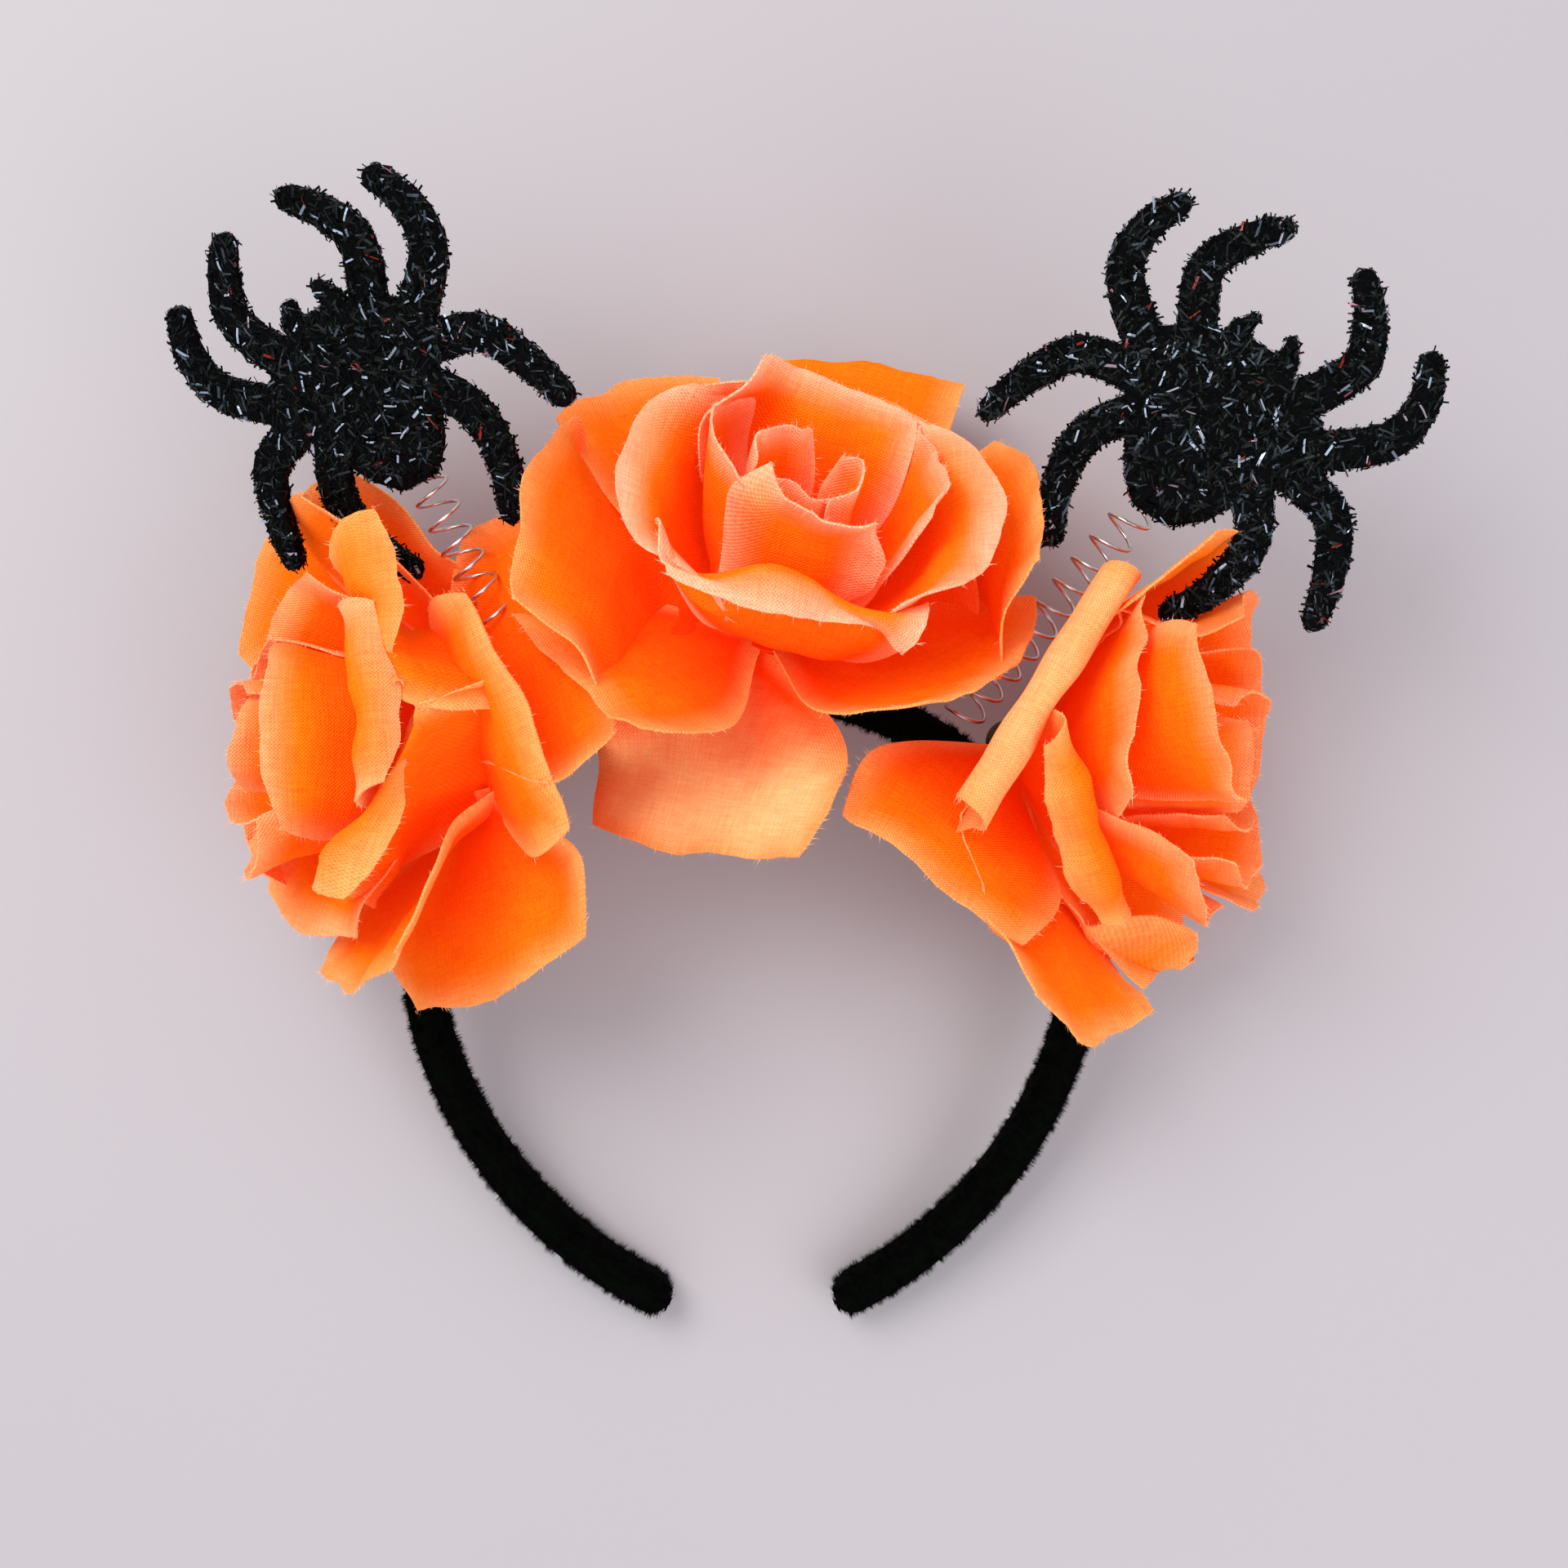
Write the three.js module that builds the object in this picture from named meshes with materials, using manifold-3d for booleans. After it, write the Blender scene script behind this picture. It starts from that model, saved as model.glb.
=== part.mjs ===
// A costume headband: a flocked arch with three cloth roses and two foam spiders on springs.
// It lies on its back, as it is stored. Millimetres and degrees, +Z up.

import * as THREE from 'three'
import { mergeVertices } from 'three/addons/utils/BufferGeometryUtils.js'
import Module from 'manifold-3d'

const wasm = await Module()
wasm.setup()

// Driving dimensions
const clearance = 0.3 // between pieces that rest on each other

// The arch, from its crown down each side: three arcs that run into each other
const crownRadius = 64
const crownSweep = 67
const shoulderRadius = 46.5
const shoulderSweep = 38.7
const legRadius = 87
const legSweep = 47.3
const stripWidth = 10 // across the strip, from the forehead side to the back
const stripThickness = 7
const stripRound = 2.2
const lieAngle = 13 // the roses prop the crown up when it lies on its back

// A rose: petals stamped from cloth, threaded on a plastic pin
const petalLength = 45
const petalWidth = 48
const clothThickness = 1
const petalRoom = 0.5 // kept free round a bent petal
const hubRadius = 4.5
const pinRadius = 1.4
const footRadius = 4.2
const spacerRadius = 3.4
const spacerLength = 5
const pinSides = 6

// A spring and its spider
const wireDiameter = 0.6
const coilDiameter = 7
const coilPitch = 4.8
const coilSides = 6 // a turn of the coil is drawn with this many straight lengths
const springLength = 59
const spiderLength = 55 // from the abdomen to the claws of the front legs
const spiderThickness = 2.6

const rad = THREE.MathUtils.degToRad
const smooth = (x) => THREE.MathUtils.smoothstep(x, 0, 1)

// Materials
const flock = new THREE.MeshStandardMaterial({ color: 0x060606, roughness: 1, metalness: 0 })
const silk = new THREE.MeshStandardMaterial({ color: 0xff8128, roughness: 0.85, metalness: 0 })
const stemPlastic = new THREE.MeshStandardMaterial({ color: 0x20381c, roughness: 0.5, metalness: 0 })
const steel = new THREE.MeshStandardMaterial({ color: 0xb9b4b0, roughness: 0.3, metalness: 1 })
const tinsel = new THREE.MeshStandardMaterial({ color: 0x0a0b0d, roughness: 0.4, metalness: 0.2 })

// Solids

function solidOf(geometry) {
  const bare = geometry.index ? geometry.clone() : geometry
  bare.deleteAttribute('normal')
  bare.deleteAttribute('uv')
  const merged = mergeVertices(bare, 1e-4)
  return new wasm.Manifold(new wasm.Mesh({
    numProp: 3,
    vertProperties: merged.attributes.position.array,
    triVerts: new Uint32Array(merged.index.array),
  }))
}

function meshOf(name, solid, material) {
  const raw = solid.getMesh()
  const geometry = new THREE.BufferGeometry()
  geometry.setAttribute('position', new THREE.BufferAttribute(raw.vertProperties, 3))
  geometry.setIndex(new THREE.BufferAttribute(raw.triVerts, 1))
  const mesh = new THREE.Mesh(geometry, material)
  mesh.name = name
  return mesh
}

const joined = (solids) => solids.reduce((whole, solid) => whole.add(solid))
const movedBy = (solid, matrix) => solid.transform(matrix.elements)
const without = (solid, room) => largest(rounded(largest(solid.subtract(room).simplify(0.2))))

// The solid as its own mesh gives it, which shows up crumbs that hang by one point
const rounded = (solid) => new wasm.Manifold(solid.getMesh())

// The largest connected piece, after a cut may have left crumbs
function largest(solid) {
  const pieces = solid.decompose()
  return pieces.reduce((best, piece) => (piece.volume() > best.volume() ? piece : best))
}

// The arch

const sides = [
  { radius: crownRadius, sweep: crownSweep },
  { radius: shoulderRadius, sweep: shoulderSweep },
  { radius: legRadius, sweep: legSweep },
]

// A point of the arch's middle line, a distance from the crown along it, right side
function archPoint(distance) {
  let heading = 0
  let x = 0
  let y = crownRadius
  let rest = distance
  for (const [i, { radius, sweep }] of sides.entries()) {
    const length = radius * rad(sweep)
    const step = (i === sides.length - 1 ? rest : Math.min(rest, length)) / radius
    x += radius * (Math.sin(heading + step) - Math.sin(heading))
    y += radius * (Math.cos(heading + step) - Math.cos(heading))
    heading += step
    rest -= step * radius
    if (rest <= 0) break
  }
  return new THREE.Vector3(x, y, 0)
}

class ArchCurve extends THREE.Curve {
  getPoint(share, target = new THREE.Vector3()) {
    const half = sides.reduce((sum, { radius, sweep }) => sum + radius * rad(sweep), 0)
    const place = archPoint(Math.abs(2 * share - 1) * half)
    return target.set(share < 0.5 ? -place.x : place.x, place.y, place.z)
  }
}

function roundedRectangle(width, height, round, steps) {
  const points = []
  for (const [sx, sy, start] of [[1, 1, 0], [-1, 1, 90], [-1, -1, 180], [1, -1, 270]]) {
    for (let i = 0; i <= steps; i++) {
      const angle = rad(start + (90 * i) / steps)
      points.push(new THREE.Vector2(
        sx * (width / 2 - round) + round * Math.cos(angle),
        sy * (height / 2 - round) + round * Math.sin(angle),
      ))
    }
  }
  return points
}

function bandSolid(grown = 0) {
  const section = new THREE.Shape(roundedRectangle(
    stripWidth + 2 * grown, stripThickness + 2 * grown, stripRound, 1,
  ))
  return solidOf(new THREE.ExtrudeGeometry(section, {
    extrudePath: new ArchCurve(),
    steps: 27,
    bevelEnabled: false,
  }))
}

// A place beside the arch's outer face, an angle from the crown
function seatAt(angle, out) {
  return new THREE.Vector3(Math.sin(rad(angle)), Math.cos(rad(angle)), 0)
    .multiplyScalar(crownRadius + stripThickness / 2 + out)
}

// Petals

// The stops along a petal, closer together where its lip rolls
function stopsFor({ lip, lipStart }) {
  const flat = 0.5 * lipStart
  if (lip > -50) return [0, flat, 0.7, 1]
  const stops = [0, flat]
  for (let i = 0; i <= 3; i++) stops.push(lipStart + ((1 - lipStart) * i) / 3)
  return stops
}

// A petal in the rose's own frame: its pin is +Z, and 90 degrees of turn faces up from the table.
// spread and rise are its slopes at the hub and on its wall, bend the share of its length
// between them, lip how far its end rolls outwards, and wrap how far it follows its neighbours.
// lean turns the whole petal about its own middle line.
function petalGrid(row, height) {
  const length = row.length * petalLength
  const halfWidth = (row.width * petalWidth) / 2
  const turn = rad(row.turn)
  const outward = new THREE.Vector3(Math.cos(turn), Math.sin(turn), 0)
  const sideways = new THREE.Vector3(-Math.sin(turn), Math.cos(turn), 0).applyAxisAngle(outward, rad(row.lean))
  const up = outward.clone().cross(sideways)

  const slopeAt = (share) => rad(row.spread + (row.rise - row.spread) * smooth(share / row.bend)
    + row.lip * smooth((share - row.lipStart) / (1 - row.lipStart)))
  const reach = [new THREE.Vector2(hubRadius - 1.2, 0)]
  const fine = 40
  for (let i = 0; i < fine; i++) {
    const slope = slopeAt((i + 0.5) / fine)
    const last = reach[i]
    const step = length / fine
    reach.push(new THREE.Vector2(last.x + step * Math.cos(slope), last.y + step * Math.sin(slope)))
  }
  const centreAt = (share) => {
    const i = Math.min(Math.floor(share * fine), fine - 1)
    return reach[i].clone().lerp(reach[i + 1], share * fine - i)
  }
  const widthAt = (share) => {
    const open = Math.sin((Math.PI / 2) * Math.min(1, share / 0.65))
    const close = Math.max(0, (share - 0.65) / 0.35)
    return halfWidth * (0.14 + 0.86 * open ** 1.15) * (1 - 0.2 * close * close)
  }

  const grid = []
  const along = stopsFor(row)
  const across = 2
  for (const stop of along) {
    const line = []
    for (let j = -across; j <= across; j++) {
      const s = j / across
      const edge = 1 - row.corner * Math.abs(s) ** 3 + row.point * (1 - Math.abs(s)) ** 2
      const share = Math.min(1.15, stop * edge)
      const centre = centreAt(Math.min(share, 1))
      const slope = slopeAt(Math.min(share, 1))
      const beyond = Math.max(0, share - 1) * length
      centre.x += beyond * Math.cos(slope)
      centre.y += beyond * Math.sin(slope)
      const half = widthAt(Math.min(share, 1))
      const turned = rad(row.twist) * smooth(share / 0.7)
      const roll = s < 0 ? row.rollLow : row.rollHigh
      const natural = (row.wrap * half * Math.sin(Math.max(slope, 0))) / Math.max(centre.x, 5)
      let flat = 0
      let deep = 0
      const steps = Math.max(1, Math.abs(j) * 3)
      for (let k = 0; k < steps; k++) {
        const q = (Math.abs(s) * (k + 0.5)) / steps
        const curl = (natural + rad(row.cup)) * q - rad(roll) * smooth((q - 0.55) / 0.45) * smooth(share / 0.5)
        flat += (Math.abs(s) / steps) * Math.cos(curl)
        deep += (Math.abs(s) / steps) * Math.sin(curl)
      }
      const normal = outward.clone().multiplyScalar(-Math.sin(slope)).addScaledVector(up, Math.cos(slope))
      const sideAxis = sideways.clone().multiplyScalar(Math.cos(turned)).addScaledVector(normal, Math.sin(turned))
      const faceAxis = normal.clone().multiplyScalar(Math.cos(turned)).addScaledVector(sideways, -Math.sin(turned))
      line.push(new THREE.Vector3(0, 0, height)
        .addScaledVector(outward, centre.x).addScaledVector(up, centre.y)
        .addScaledVector(sideAxis, Math.sign(s) * flat * half)
        .addScaledVector(faceAxis, deep * half))
    }
    grid.push(line)
  }
  return grid
}

// A grid of points with its borders moved outwards
function grownGrid(grid, grown) {
  const lastRow = grid.length - 1
  const lastColumn = grid[0].length - 1
  const away = (point, from) => point.clone().sub(from).setLength(grown)
  return grid.map((line, i) => line.map((point, j) => {
    const moved = point.clone()
    if (i === lastRow) moved.add(away(point, grid[i - 1][j]))
    if (j === 0) moved.add(away(point, line[1]))
    if (j === lastColumn) moved.add(away(point, line[j - 1]))
    return moved
  }))
}

// A sheet of cloth through a grid of points, as a closed solid
function sheetSolid(grid, thickness) {
  const rows = grid.length
  const columns = grid[0].length
  const positions = []
  const at = (i, j) => grid[Math.min(Math.max(i, 0), rows - 1)][Math.min(Math.max(j, 0), columns - 1)]
  for (const side of [0.5, -0.5]) {
    for (let i = 0; i < rows; i++) {
      for (let j = 0; j < columns; j++) {
        const along = at(i + 1, j).clone().sub(at(i - 1, j))
        const across = at(i, j + 1).clone().sub(at(i, j - 1))
        const normal = along.cross(across).normalize()
        positions.push(...at(i, j).clone().addScaledVector(normal, side * thickness).toArray())
      }
    }
  }
  const triangles = []
  const quad = (a, b, c, d) => triangles.push(a, b, c, a, c, d)
  const front = (i, j) => i * columns + j
  const back = (i, j) => rows * columns + i * columns + j
  for (let i = 0; i + 1 < rows; i++) {
    for (let j = 0; j + 1 < columns; j++) {
      quad(front(i, j), front(i + 1, j), front(i + 1, j + 1), front(i, j + 1))
      quad(back(i, j), back(i, j + 1), back(i + 1, j + 1), back(i + 1, j))
    }
  }
  for (let i = 0; i + 1 < rows; i++) {
    quad(front(i, 0), back(i, 0), back(i + 1, 0), front(i + 1, 0))
    quad(front(i + 1, columns - 1), back(i + 1, columns - 1), back(i, columns - 1), front(i, columns - 1))
  }
  for (let j = 0; j + 1 < columns; j++) {
    quad(front(0, j + 1), back(0, j + 1), back(0, j), front(0, j))
    quad(front(rows - 1, j), back(rows - 1, j), back(rows - 1, j + 1), front(rows - 1, j + 1))
  }
  const geometry = new THREE.BufferGeometry()
  geometry.setAttribute('position', new THREE.Float32BufferAttribute(positions, 3))
  geometry.setIndex(triangles)
  return solidOf(geometry)
}

// The round middle of a layer, with its hole for the pin
function hubSolid(height, thickness, hole) {
  return turnedSolid([
    [hole, height - thickness / 2],
    [hubRadius, height - thickness / 2],
    [hubRadius, height + thickness / 2],
    [hole, height + thickness / 2],
    [hole, height - thickness / 2],
  ])
}

const plainPetal = {
  turn: 0, length: 1, width: 1, spread: 0, rise: 60, bend: 0.5, lip: 0, lipStart: 0.65,
  wrap: 1, cup: 0, rollLow: 0, rollHigh: 0, twist: 0, lean: 0, point: 0.05, corner: 0.1,
}

function layerSolid(rows, height, grown = 0) {
  const thickness = clothThickness + 2 * grown
  const petals = rows.map((row) => {
    const grid = petalGrid({ ...plainPetal, ...row }, height)
    return sheetSolid(grown > 0 ? grownGrid(grid, grown) : grid, thickness)
  })
  const pinHole = solidOf(new THREE.CylinderGeometry(
    pinRadius + clearance, pinRadius + clearance, 4 * thickness, pinSides,
  ).rotateX(Math.PI / 2).translate(0, 0, height))
  return joined([hubSolid(height, thickness, pinRadius + clearance), ...petals]).subtract(pinHole)
}

// The round foot of a pin, in profile
function footProfile(radius) {
  const profile = [[0, -radius]]
  for (let i = 1; i <= 4; i++) {
    const angle = rad(-90 + (90 * i) / 4)
    profile.push([radius * Math.cos(angle), radius * Math.sin(angle)])
  }
  return profile
}

function turnedSolid(profile) {
  const outline = profile.map(([x, y]) => new THREE.Vector2(x, y))
  return solidOf(new THREE.LatheGeometry(outline, pinSides).rotateX(Math.PI / 2))
}

function calyxSolid() {
  const pinEnd = layerHeights.bud + clothThickness
  const spacerFoot = layerHeights.second + clothThickness / 2 + clearance
  return turnedSolid([
    ...footProfile(footRadius),
    [pinRadius, 0], [pinRadius, spacerFoot], [spacerRadius, spacerFoot],
    [spacerRadius, spacerFoot + spacerLength], [pinRadius, spacerFoot + spacerLength],
    [pinRadius, pinEnd], [0, pinEnd],
  ])
}

// Where each layer sits on the pin, above the middle of its round foot
const layerStep = clothThickness + clearance
const layerHeights = { outer: clothThickness / 2 + clearance }
layerHeights.second = layerHeights.outer + layerStep
layerHeights.cup = layerHeights.second + layerStep + spacerLength + clearance
layerHeights.inner = layerHeights.cup + layerStep
layerHeights.bud = layerHeights.inner + layerStep

// The roses, each with its seat on the arch, the way its pin points, and its petals.
// Left of the crown a turn of 0 faces the arch's leg, right of it the crown.
const roses = [
  {
    name: 'centre',
    seat: 2,
    heading: 14,
    lift: 29,
    layers: {
      outer: [
        { turn: 86, length: 0.88, width: 1.14, spread: -25, rise: -37, bend: 0.4, wrap: 0, twist: 40, cup: 8, point: 0, corner: 0.05 },
        { turn: 6, length: 1.12, width: 1.1, spread: 10, rise: 36, twist: -8, wrap: 0.3, corner: 0.06 },
        { turn: 262, length: 1.46, width: 0.85, spread: 20, rise: 40, wrap: 0.3, twist: -12 },
        { turn: 200, length: 1.26, width: 1.0, spread: 8, rise: 58, bend: 0.6, wrap: 0.4, twist: -10, cup: -16 },
      ],
      second: [
        { turn: 38, length: 0.86, width: 1.05, spread: 3, rise: 4, bend: 0.4, wrap: 0, twist: 12, cup: -8 },
        { turn: 158, length: 1.0, width: 1.04, spread: 3, rise: 31, wrap: 0, twist: -4, cup: 15 },
        { turn: 312, length: 1.22, width: 0.8, spread: 18, rise: 20, bend: 0.6, cup: 15 },
        { turn: 235, length: 1.1, width: 0.9, spread: 5, rise: 58, bend: 0.6 },
      ],
      cup: [
        { turn: 10, length: 0.9, width: 1.16, spread: 24, rise: 76, bend: 0.86, lip: -60, twist: -10, cup: -12, corner: 0.25 },
        { turn: 185, length: 1.0, width: 1.15, spread: 24, rise: 82, bend: 0.86, lip: -62, twist: 6, cup: -18, corner: 0.25 },
        { turn: 275, length: 0.95, width: 0.95, spread: 10, rise: 86, bend: 0.76 },
        { turn: 95, length: 1.02, width: 1.0, spread: 5, rise: 102, bend: 0.76, lip: -145, twist: -17, cup: -18 },
      ],
      inner: [
        { turn: 350, length: 0.82, width: 0.85, spread: 12, rise: 82, bend: 0.56, twist: 26, cup: -12 },
        { turn: 267, length: 0.93, width: 0.74, spread: 12, rise: 80, bend: 0.5, lip: -42, twist: 18 },
        { turn: 198, length: 0.88, width: 0.64, spread: 18, rise: 72, bend: 0.56, twist: -8, cup: -14 },
        { turn: 97, length: 0.8, width: 0.5, spread: 15, rise: 93, bend: 0.46, lip: -38, twist: -20 },
      ],
      bud: [
        { turn: 70, length: 0.66, width: 0.4, spread: 25, rise: 92, bend: 0.3 },
        { turn: 190, length: 0.7, width: 0.4, spread: 25, rise: 90, bend: 0.36 },
        { turn: 310, length: 0.72, width: 0.4, spread: 25, rise: 88, bend: 0.44 },
      ],
    },
  },
  {
    name: 'left',
    seat: -44,
    heading: -84,
    lift: 18,
    layers: {
      outer: [
        { turn: 150, length: 0.8, width: 1.2, spread: 15, rise: -38, twist: 17, wrap: 0, cup: 20 },
        { turn: 34, length: 0.95, width: 1.15, spread: 10, rise: -5, twist: -30, wrap: 0 },
        { turn: 228, length: 1.3, width: 0.99, spread: 5, rise: 51, twist: 30, cup: -7 },
        { turn: 300, length: 0.95, width: 0.9, spread: 0, rise: 43 },
      ],
      second: [
        { turn: 114, length: 0.8, width: 1.0, spread: 20, rise: 0, lean: 22, wrap: 0, lip: -40, lipStart: 0.6 },
        { turn: 88, length: 0.94, width: 0.87, spread: 3, rise: 65, wrap: 0.4, lip: -132, lipStart: 0.7, twist: -33, cup: -20 },
        { turn: 34, length: 1.05, width: 0.85, spread: 12, rise: 33, twist: -15, wrap: 0.3, cup: 18 },
        { turn: 148, length: 1.04, width: 0.78, spread: 24, rise: 45, wrap: 0.4, lip: -130, lipStart: 0.75, twist: 18, cup: -10 },
        { turn: 205, length: 1.25, width: 0.64, spread: 3, rise: 51, wrap: 0.6, twist: 5, cup: -10 },
      ],
      cup: [
        { turn: 122, length: 0.94, width: 0.75, spread: 20, rise: 50, bend: 0.6, wrap: 0.4, lip: -165, lipStart: 0.68, lean: 4 },
        { turn: 10, length: 0.86, width: 0.82, spread: 15, rise: 53, wrap: 0.5, lip: -40, twist: -18 },
        { turn: 222, length: 0.85, width: 0.84, spread: 14, rise: 71, wrap: 0.6, lip: -27, twist: 21 },
        { turn: 295, length: 0.9, width: 0.9, spread: 15, rise: 72, bend: 0.55 },
      ],
      inner: [
        { turn: 15, length: 0.88, width: 0.85, spread: 15, rise: 78, bend: 0.6, lip: -15 },
        { turn: 122, length: 0.86, width: 0.97, spread: 17, rise: 79, bend: 0.58, wrap: 1.1, lip: 20 },
        { turn: 250, length: 0.86, width: 1.0, spread: 5, rise: 86, bend: 0.56 },
      ],
      bud: [
        { turn: 100, length: 0.86, width: 0.54, spread: 10, rise: 96, bend: 0.36 },
        { turn: 220, length: 0.86, width: 0.54, spread: 10, rise: 94, bend: 0.44 },
        { turn: 340, length: 0.88, width: 0.56, spread: 10, rise: 92, bend: 0.5 },
      ],
    },
  },
  {
    name: 'right',
    seat: 42,
    heading: 92,
    lift: 20,
    layers: {
      outer: [
        { turn: 110, length: 0.86, width: 0.92, spread: 0, rise: -8, lean: 50, wrap: 0, cup: -18 },
        { turn: 52, length: 1.0, width: 1.12, spread: 20, rise: 37, bend: 0.4, lean: -19, wrap: 0, lip: -220, lipStart: 0.6 },
        { turn: 148, length: 1.22, width: 0.83, spread: 13, rise: 30, twist: 24, wrap: 0.3, cup: 7 },
        { turn: 275, length: 0.95, width: 0.9, spread: 0, rise: 42 },
      ],
      second: [
        { turn: 116, length: 0.95, width: 0.88, spread: 20, rise: 58, lean: 13, wrap: 0.1, lip: -160 },
        { turn: 202, length: 1.09, width: 0.8, spread: 15, rise: 46, bend: 0.6, twist: 7 },
        { turn: 348, length: 1.2, width: 0.9, spread: 20, rise: 52, wrap: 0.5 },
        { turn: 195, length: 1.12, width: 0.67, spread: 18, rise: 52, bend: 0.6, twist: -25 },
        { turn: 310, length: 0.9, width: 0.9, spread: 10, rise: 52, bend: 0.6 },
      ],
      cup: [
        { turn: 57, length: 0.76, width: 0.85, spread: 15, rise: 42, bend: 0.6, twist: 6 },
        { turn: 222, length: 1.12, width: 0.75, spread: 21, rise: 58, bend: 0.6, twist: -22 },
        { turn: 335, length: 0.98, width: 0.85, spread: 16, rise: 62, bend: 0.6, twist: 8 },
        { turn: 150, length: 0.95, width: 0.8, spread: 15, rise: 66, bend: 0.6 },
      ],
      inner: [
        { turn: 66, length: 0.95, width: 0.8, spread: 40, rise: 50, bend: 0.6, twist: 34, cup: 22 },
        { turn: 190, length: 1.0, width: 0.75, spread: 12, rise: 85, bend: 0.6 },
        { turn: 290, length: 0.95, width: 0.9, spread: 5, rise: 84, bend: 0.56 },
      ],
      bud: [
        { turn: 80, length: 0.86, width: 0.54, spread: 10, rise: 96, bend: 0.36 },
        { turn: 200, length: 0.86, width: 0.54, spread: 10, rise: 94, bend: 0.44 },
        { turn: 320, length: 0.88, width: 0.56, spread: 10, rise: 92, bend: 0.5 },
      ],
    },
  },
]

// The frame of a pin that points a heading from the crown and a lift up from the arch's plane
function pinBasis(heading, lift) {
  const pin = new THREE.Vector3(
    Math.sin(rad(heading)) * Math.cos(rad(lift)),
    Math.cos(rad(heading)) * Math.cos(rad(lift)),
    Math.sin(rad(lift)),
  )
  const faceUp = new THREE.Vector3(0, 0, 1).addScaledVector(pin, -pin.z).normalize()
  return new THREE.Matrix4().makeBasis(faceUp.clone().cross(pin), faceUp, pin)
}

// A rose keeps clear of the room that other pieces take, given in the arch's frame,
// and says what room its own petals take there
function roseGroup(rose, room) {
  const group = new THREE.Group()
  group.position.copy(seatAt(rose.seat, footRadius + clearance))
  group.quaternion.setFromRotationMatrix(pinBasis(rose.heading, rose.lift))
  group.updateMatrix()
  group.add(meshOf(`${rose.name}_calyx`, calyxSolid(), stemPlastic))
  const foot = turnedSolid([...footProfile(footRadius + clearance), [0, 0]])
  let taken = movedBy(room, group.matrix.clone().invert()).add(foot)
  for (const layer of ['bud', 'inner', 'cup', 'second', 'outer']) {
    const rows = rose.layers[layer]
    const height = layerHeights[layer]
    const name = layer === 'bud' ? `${rose.name}_bud` : `${rose.name}_petals_${layer}`
    group.add(meshOf(name, without(layerSolid(rows, height), taken), silk))
    for (const grown of [0, clearance, petalRoom]) taken = taken.add(layerSolid(rows, height, grown))
  }
  return { group, room: movedBy(taken, group.matrix) }
}

// Spiders

// Half of the outline of the body, up from the abdomen's end, in shares of the spider's length
const bodyHalf = [
  { x: 0.06, y: -0.195 }, { x: 0.14, y: -0.13 }, { x: 0.2, y: -0.035 }, { x: 0.215, y: 0.03 },
  { x: 0.29, y: 0.12 }, { x: 0.37, y: 0.225 }, { x: 0.29, y: 0.325 }, { x: 0.13, y: 0.39 },
  { x: 0.1, y: 0.42 }, { x: 0.055, y: 0.43 },
]
// The legs of one side: root, two points on the way and the tip, in the same shares
const legs = [
  { rootX: 0.16, rootY: 0.3, kneeX: 0.28, kneeY: 0.52, shinX: 0.23, shinY: 0.66, tipX: 0.15, tipY: 0.75 },
  { rootX: 0.28, rootY: 0.22, kneeX: 0.48, kneeY: 0.38, shinX: 0.51, shinY: 0.53, tipX: 0.46, tipY: 0.65 },
  { rootX: 0.24, rootY: 0.16, kneeX: 0.47, kneeY: 0.11, shinX: 0.57, shinY: -0.04, tipX: 0.62, tipY: -0.19 },
  { rootX: 0.16, rootY: 0.12, kneeX: 0.31, kneeY: -0.08, shinX: 0.3, shinY: -0.28, tipX: 0.23, tipY: -0.42 },
]
const legRootWidth = 7
const legTipWidth = 4.2

function spiderSolid(grown = 0) {
  const plate = (points) => solidOf(new THREE.ExtrudeGeometry(new THREE.Shape(points), {
    depth: spiderThickness + 2 * grown, bevelEnabled: false,
  }).translate(0, 0, -grown))
  const vector = (x, y) => new THREE.Vector2(x * spiderLength, y * spiderLength)
  const half = bodyHalf.map(({ x, y }) => vector(x, y))
  const mirrored = half.map((p) => new THREE.Vector2(-p.x, p.y)).reverse()
  const parts = [plate([...half, ...mirrored])]
  for (const side of [1, -1]) {
    for (const leg of legs) {
      const line = new THREE.SplineCurve([
        vector(side * leg.rootX, leg.rootY), vector(side * leg.kneeX, leg.kneeY),
        vector(side * leg.shinX, leg.shinY), vector(side * leg.tipX, leg.tipY),
      ])
      const steps = 4
      const near = []
      const far = []
      for (let i = 0; i <= steps; i++) {
        const share = i / steps
        const width = legRootWidth + (legTipWidth - legRootWidth) * share ** 1.5 + 2 * grown
        const point = line.getPoint(share)
        const tangent = line.getTangent(share)
        const normal = new THREE.Vector2(-tangent.y, tangent.x)
        near.push(point.clone().addScaledVector(normal, width / 2))
        far.push(point.clone().addScaledVector(normal, -width / 2))
      }
      const tip = line.getPoint(1)
      const way = line.getTangent(1)
      const round = []
      const tipRadius = legTipWidth / 2 + grown
      for (let i = 1; i < 4; i++) {
        const angle = rad(90 - (180 * i) / 4)
        round.push(tip.clone()
          .addScaledVector(way, Math.cos(angle) * tipRadius)
          .addScaledVector(new THREE.Vector2(-way.y, way.x), Math.sin(angle) * tipRadius))
      }
      parts.push(plate([...near, ...round, ...far.reverse()].reverse()))
    }
    parts.push(plate([
      vector(side * 0.02, 0.4), vector(side * 0.055, 0.44), vector(side * 0.05, 0.5),
      vector(side * 0.075, 0.505), vector(side * 0.125, 0.44), vector(side * 0.13, 0.38),
    ].reverse()))
  }
  return joined(parts)
}

// Where each spring starts on the arch, where it goes, how its spider is turned, and how far
// the spring is stretched
const wobblers = [
  { name: 'left', seat: -33, heading: -25, lift: 2, bearing: 31, roll: 24, stretch: 1 },
  { name: 'right', seat: 34, heading: 38, lift: 7, bearing: -31, roll: 10, stretch: 1.05 },
]

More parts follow.
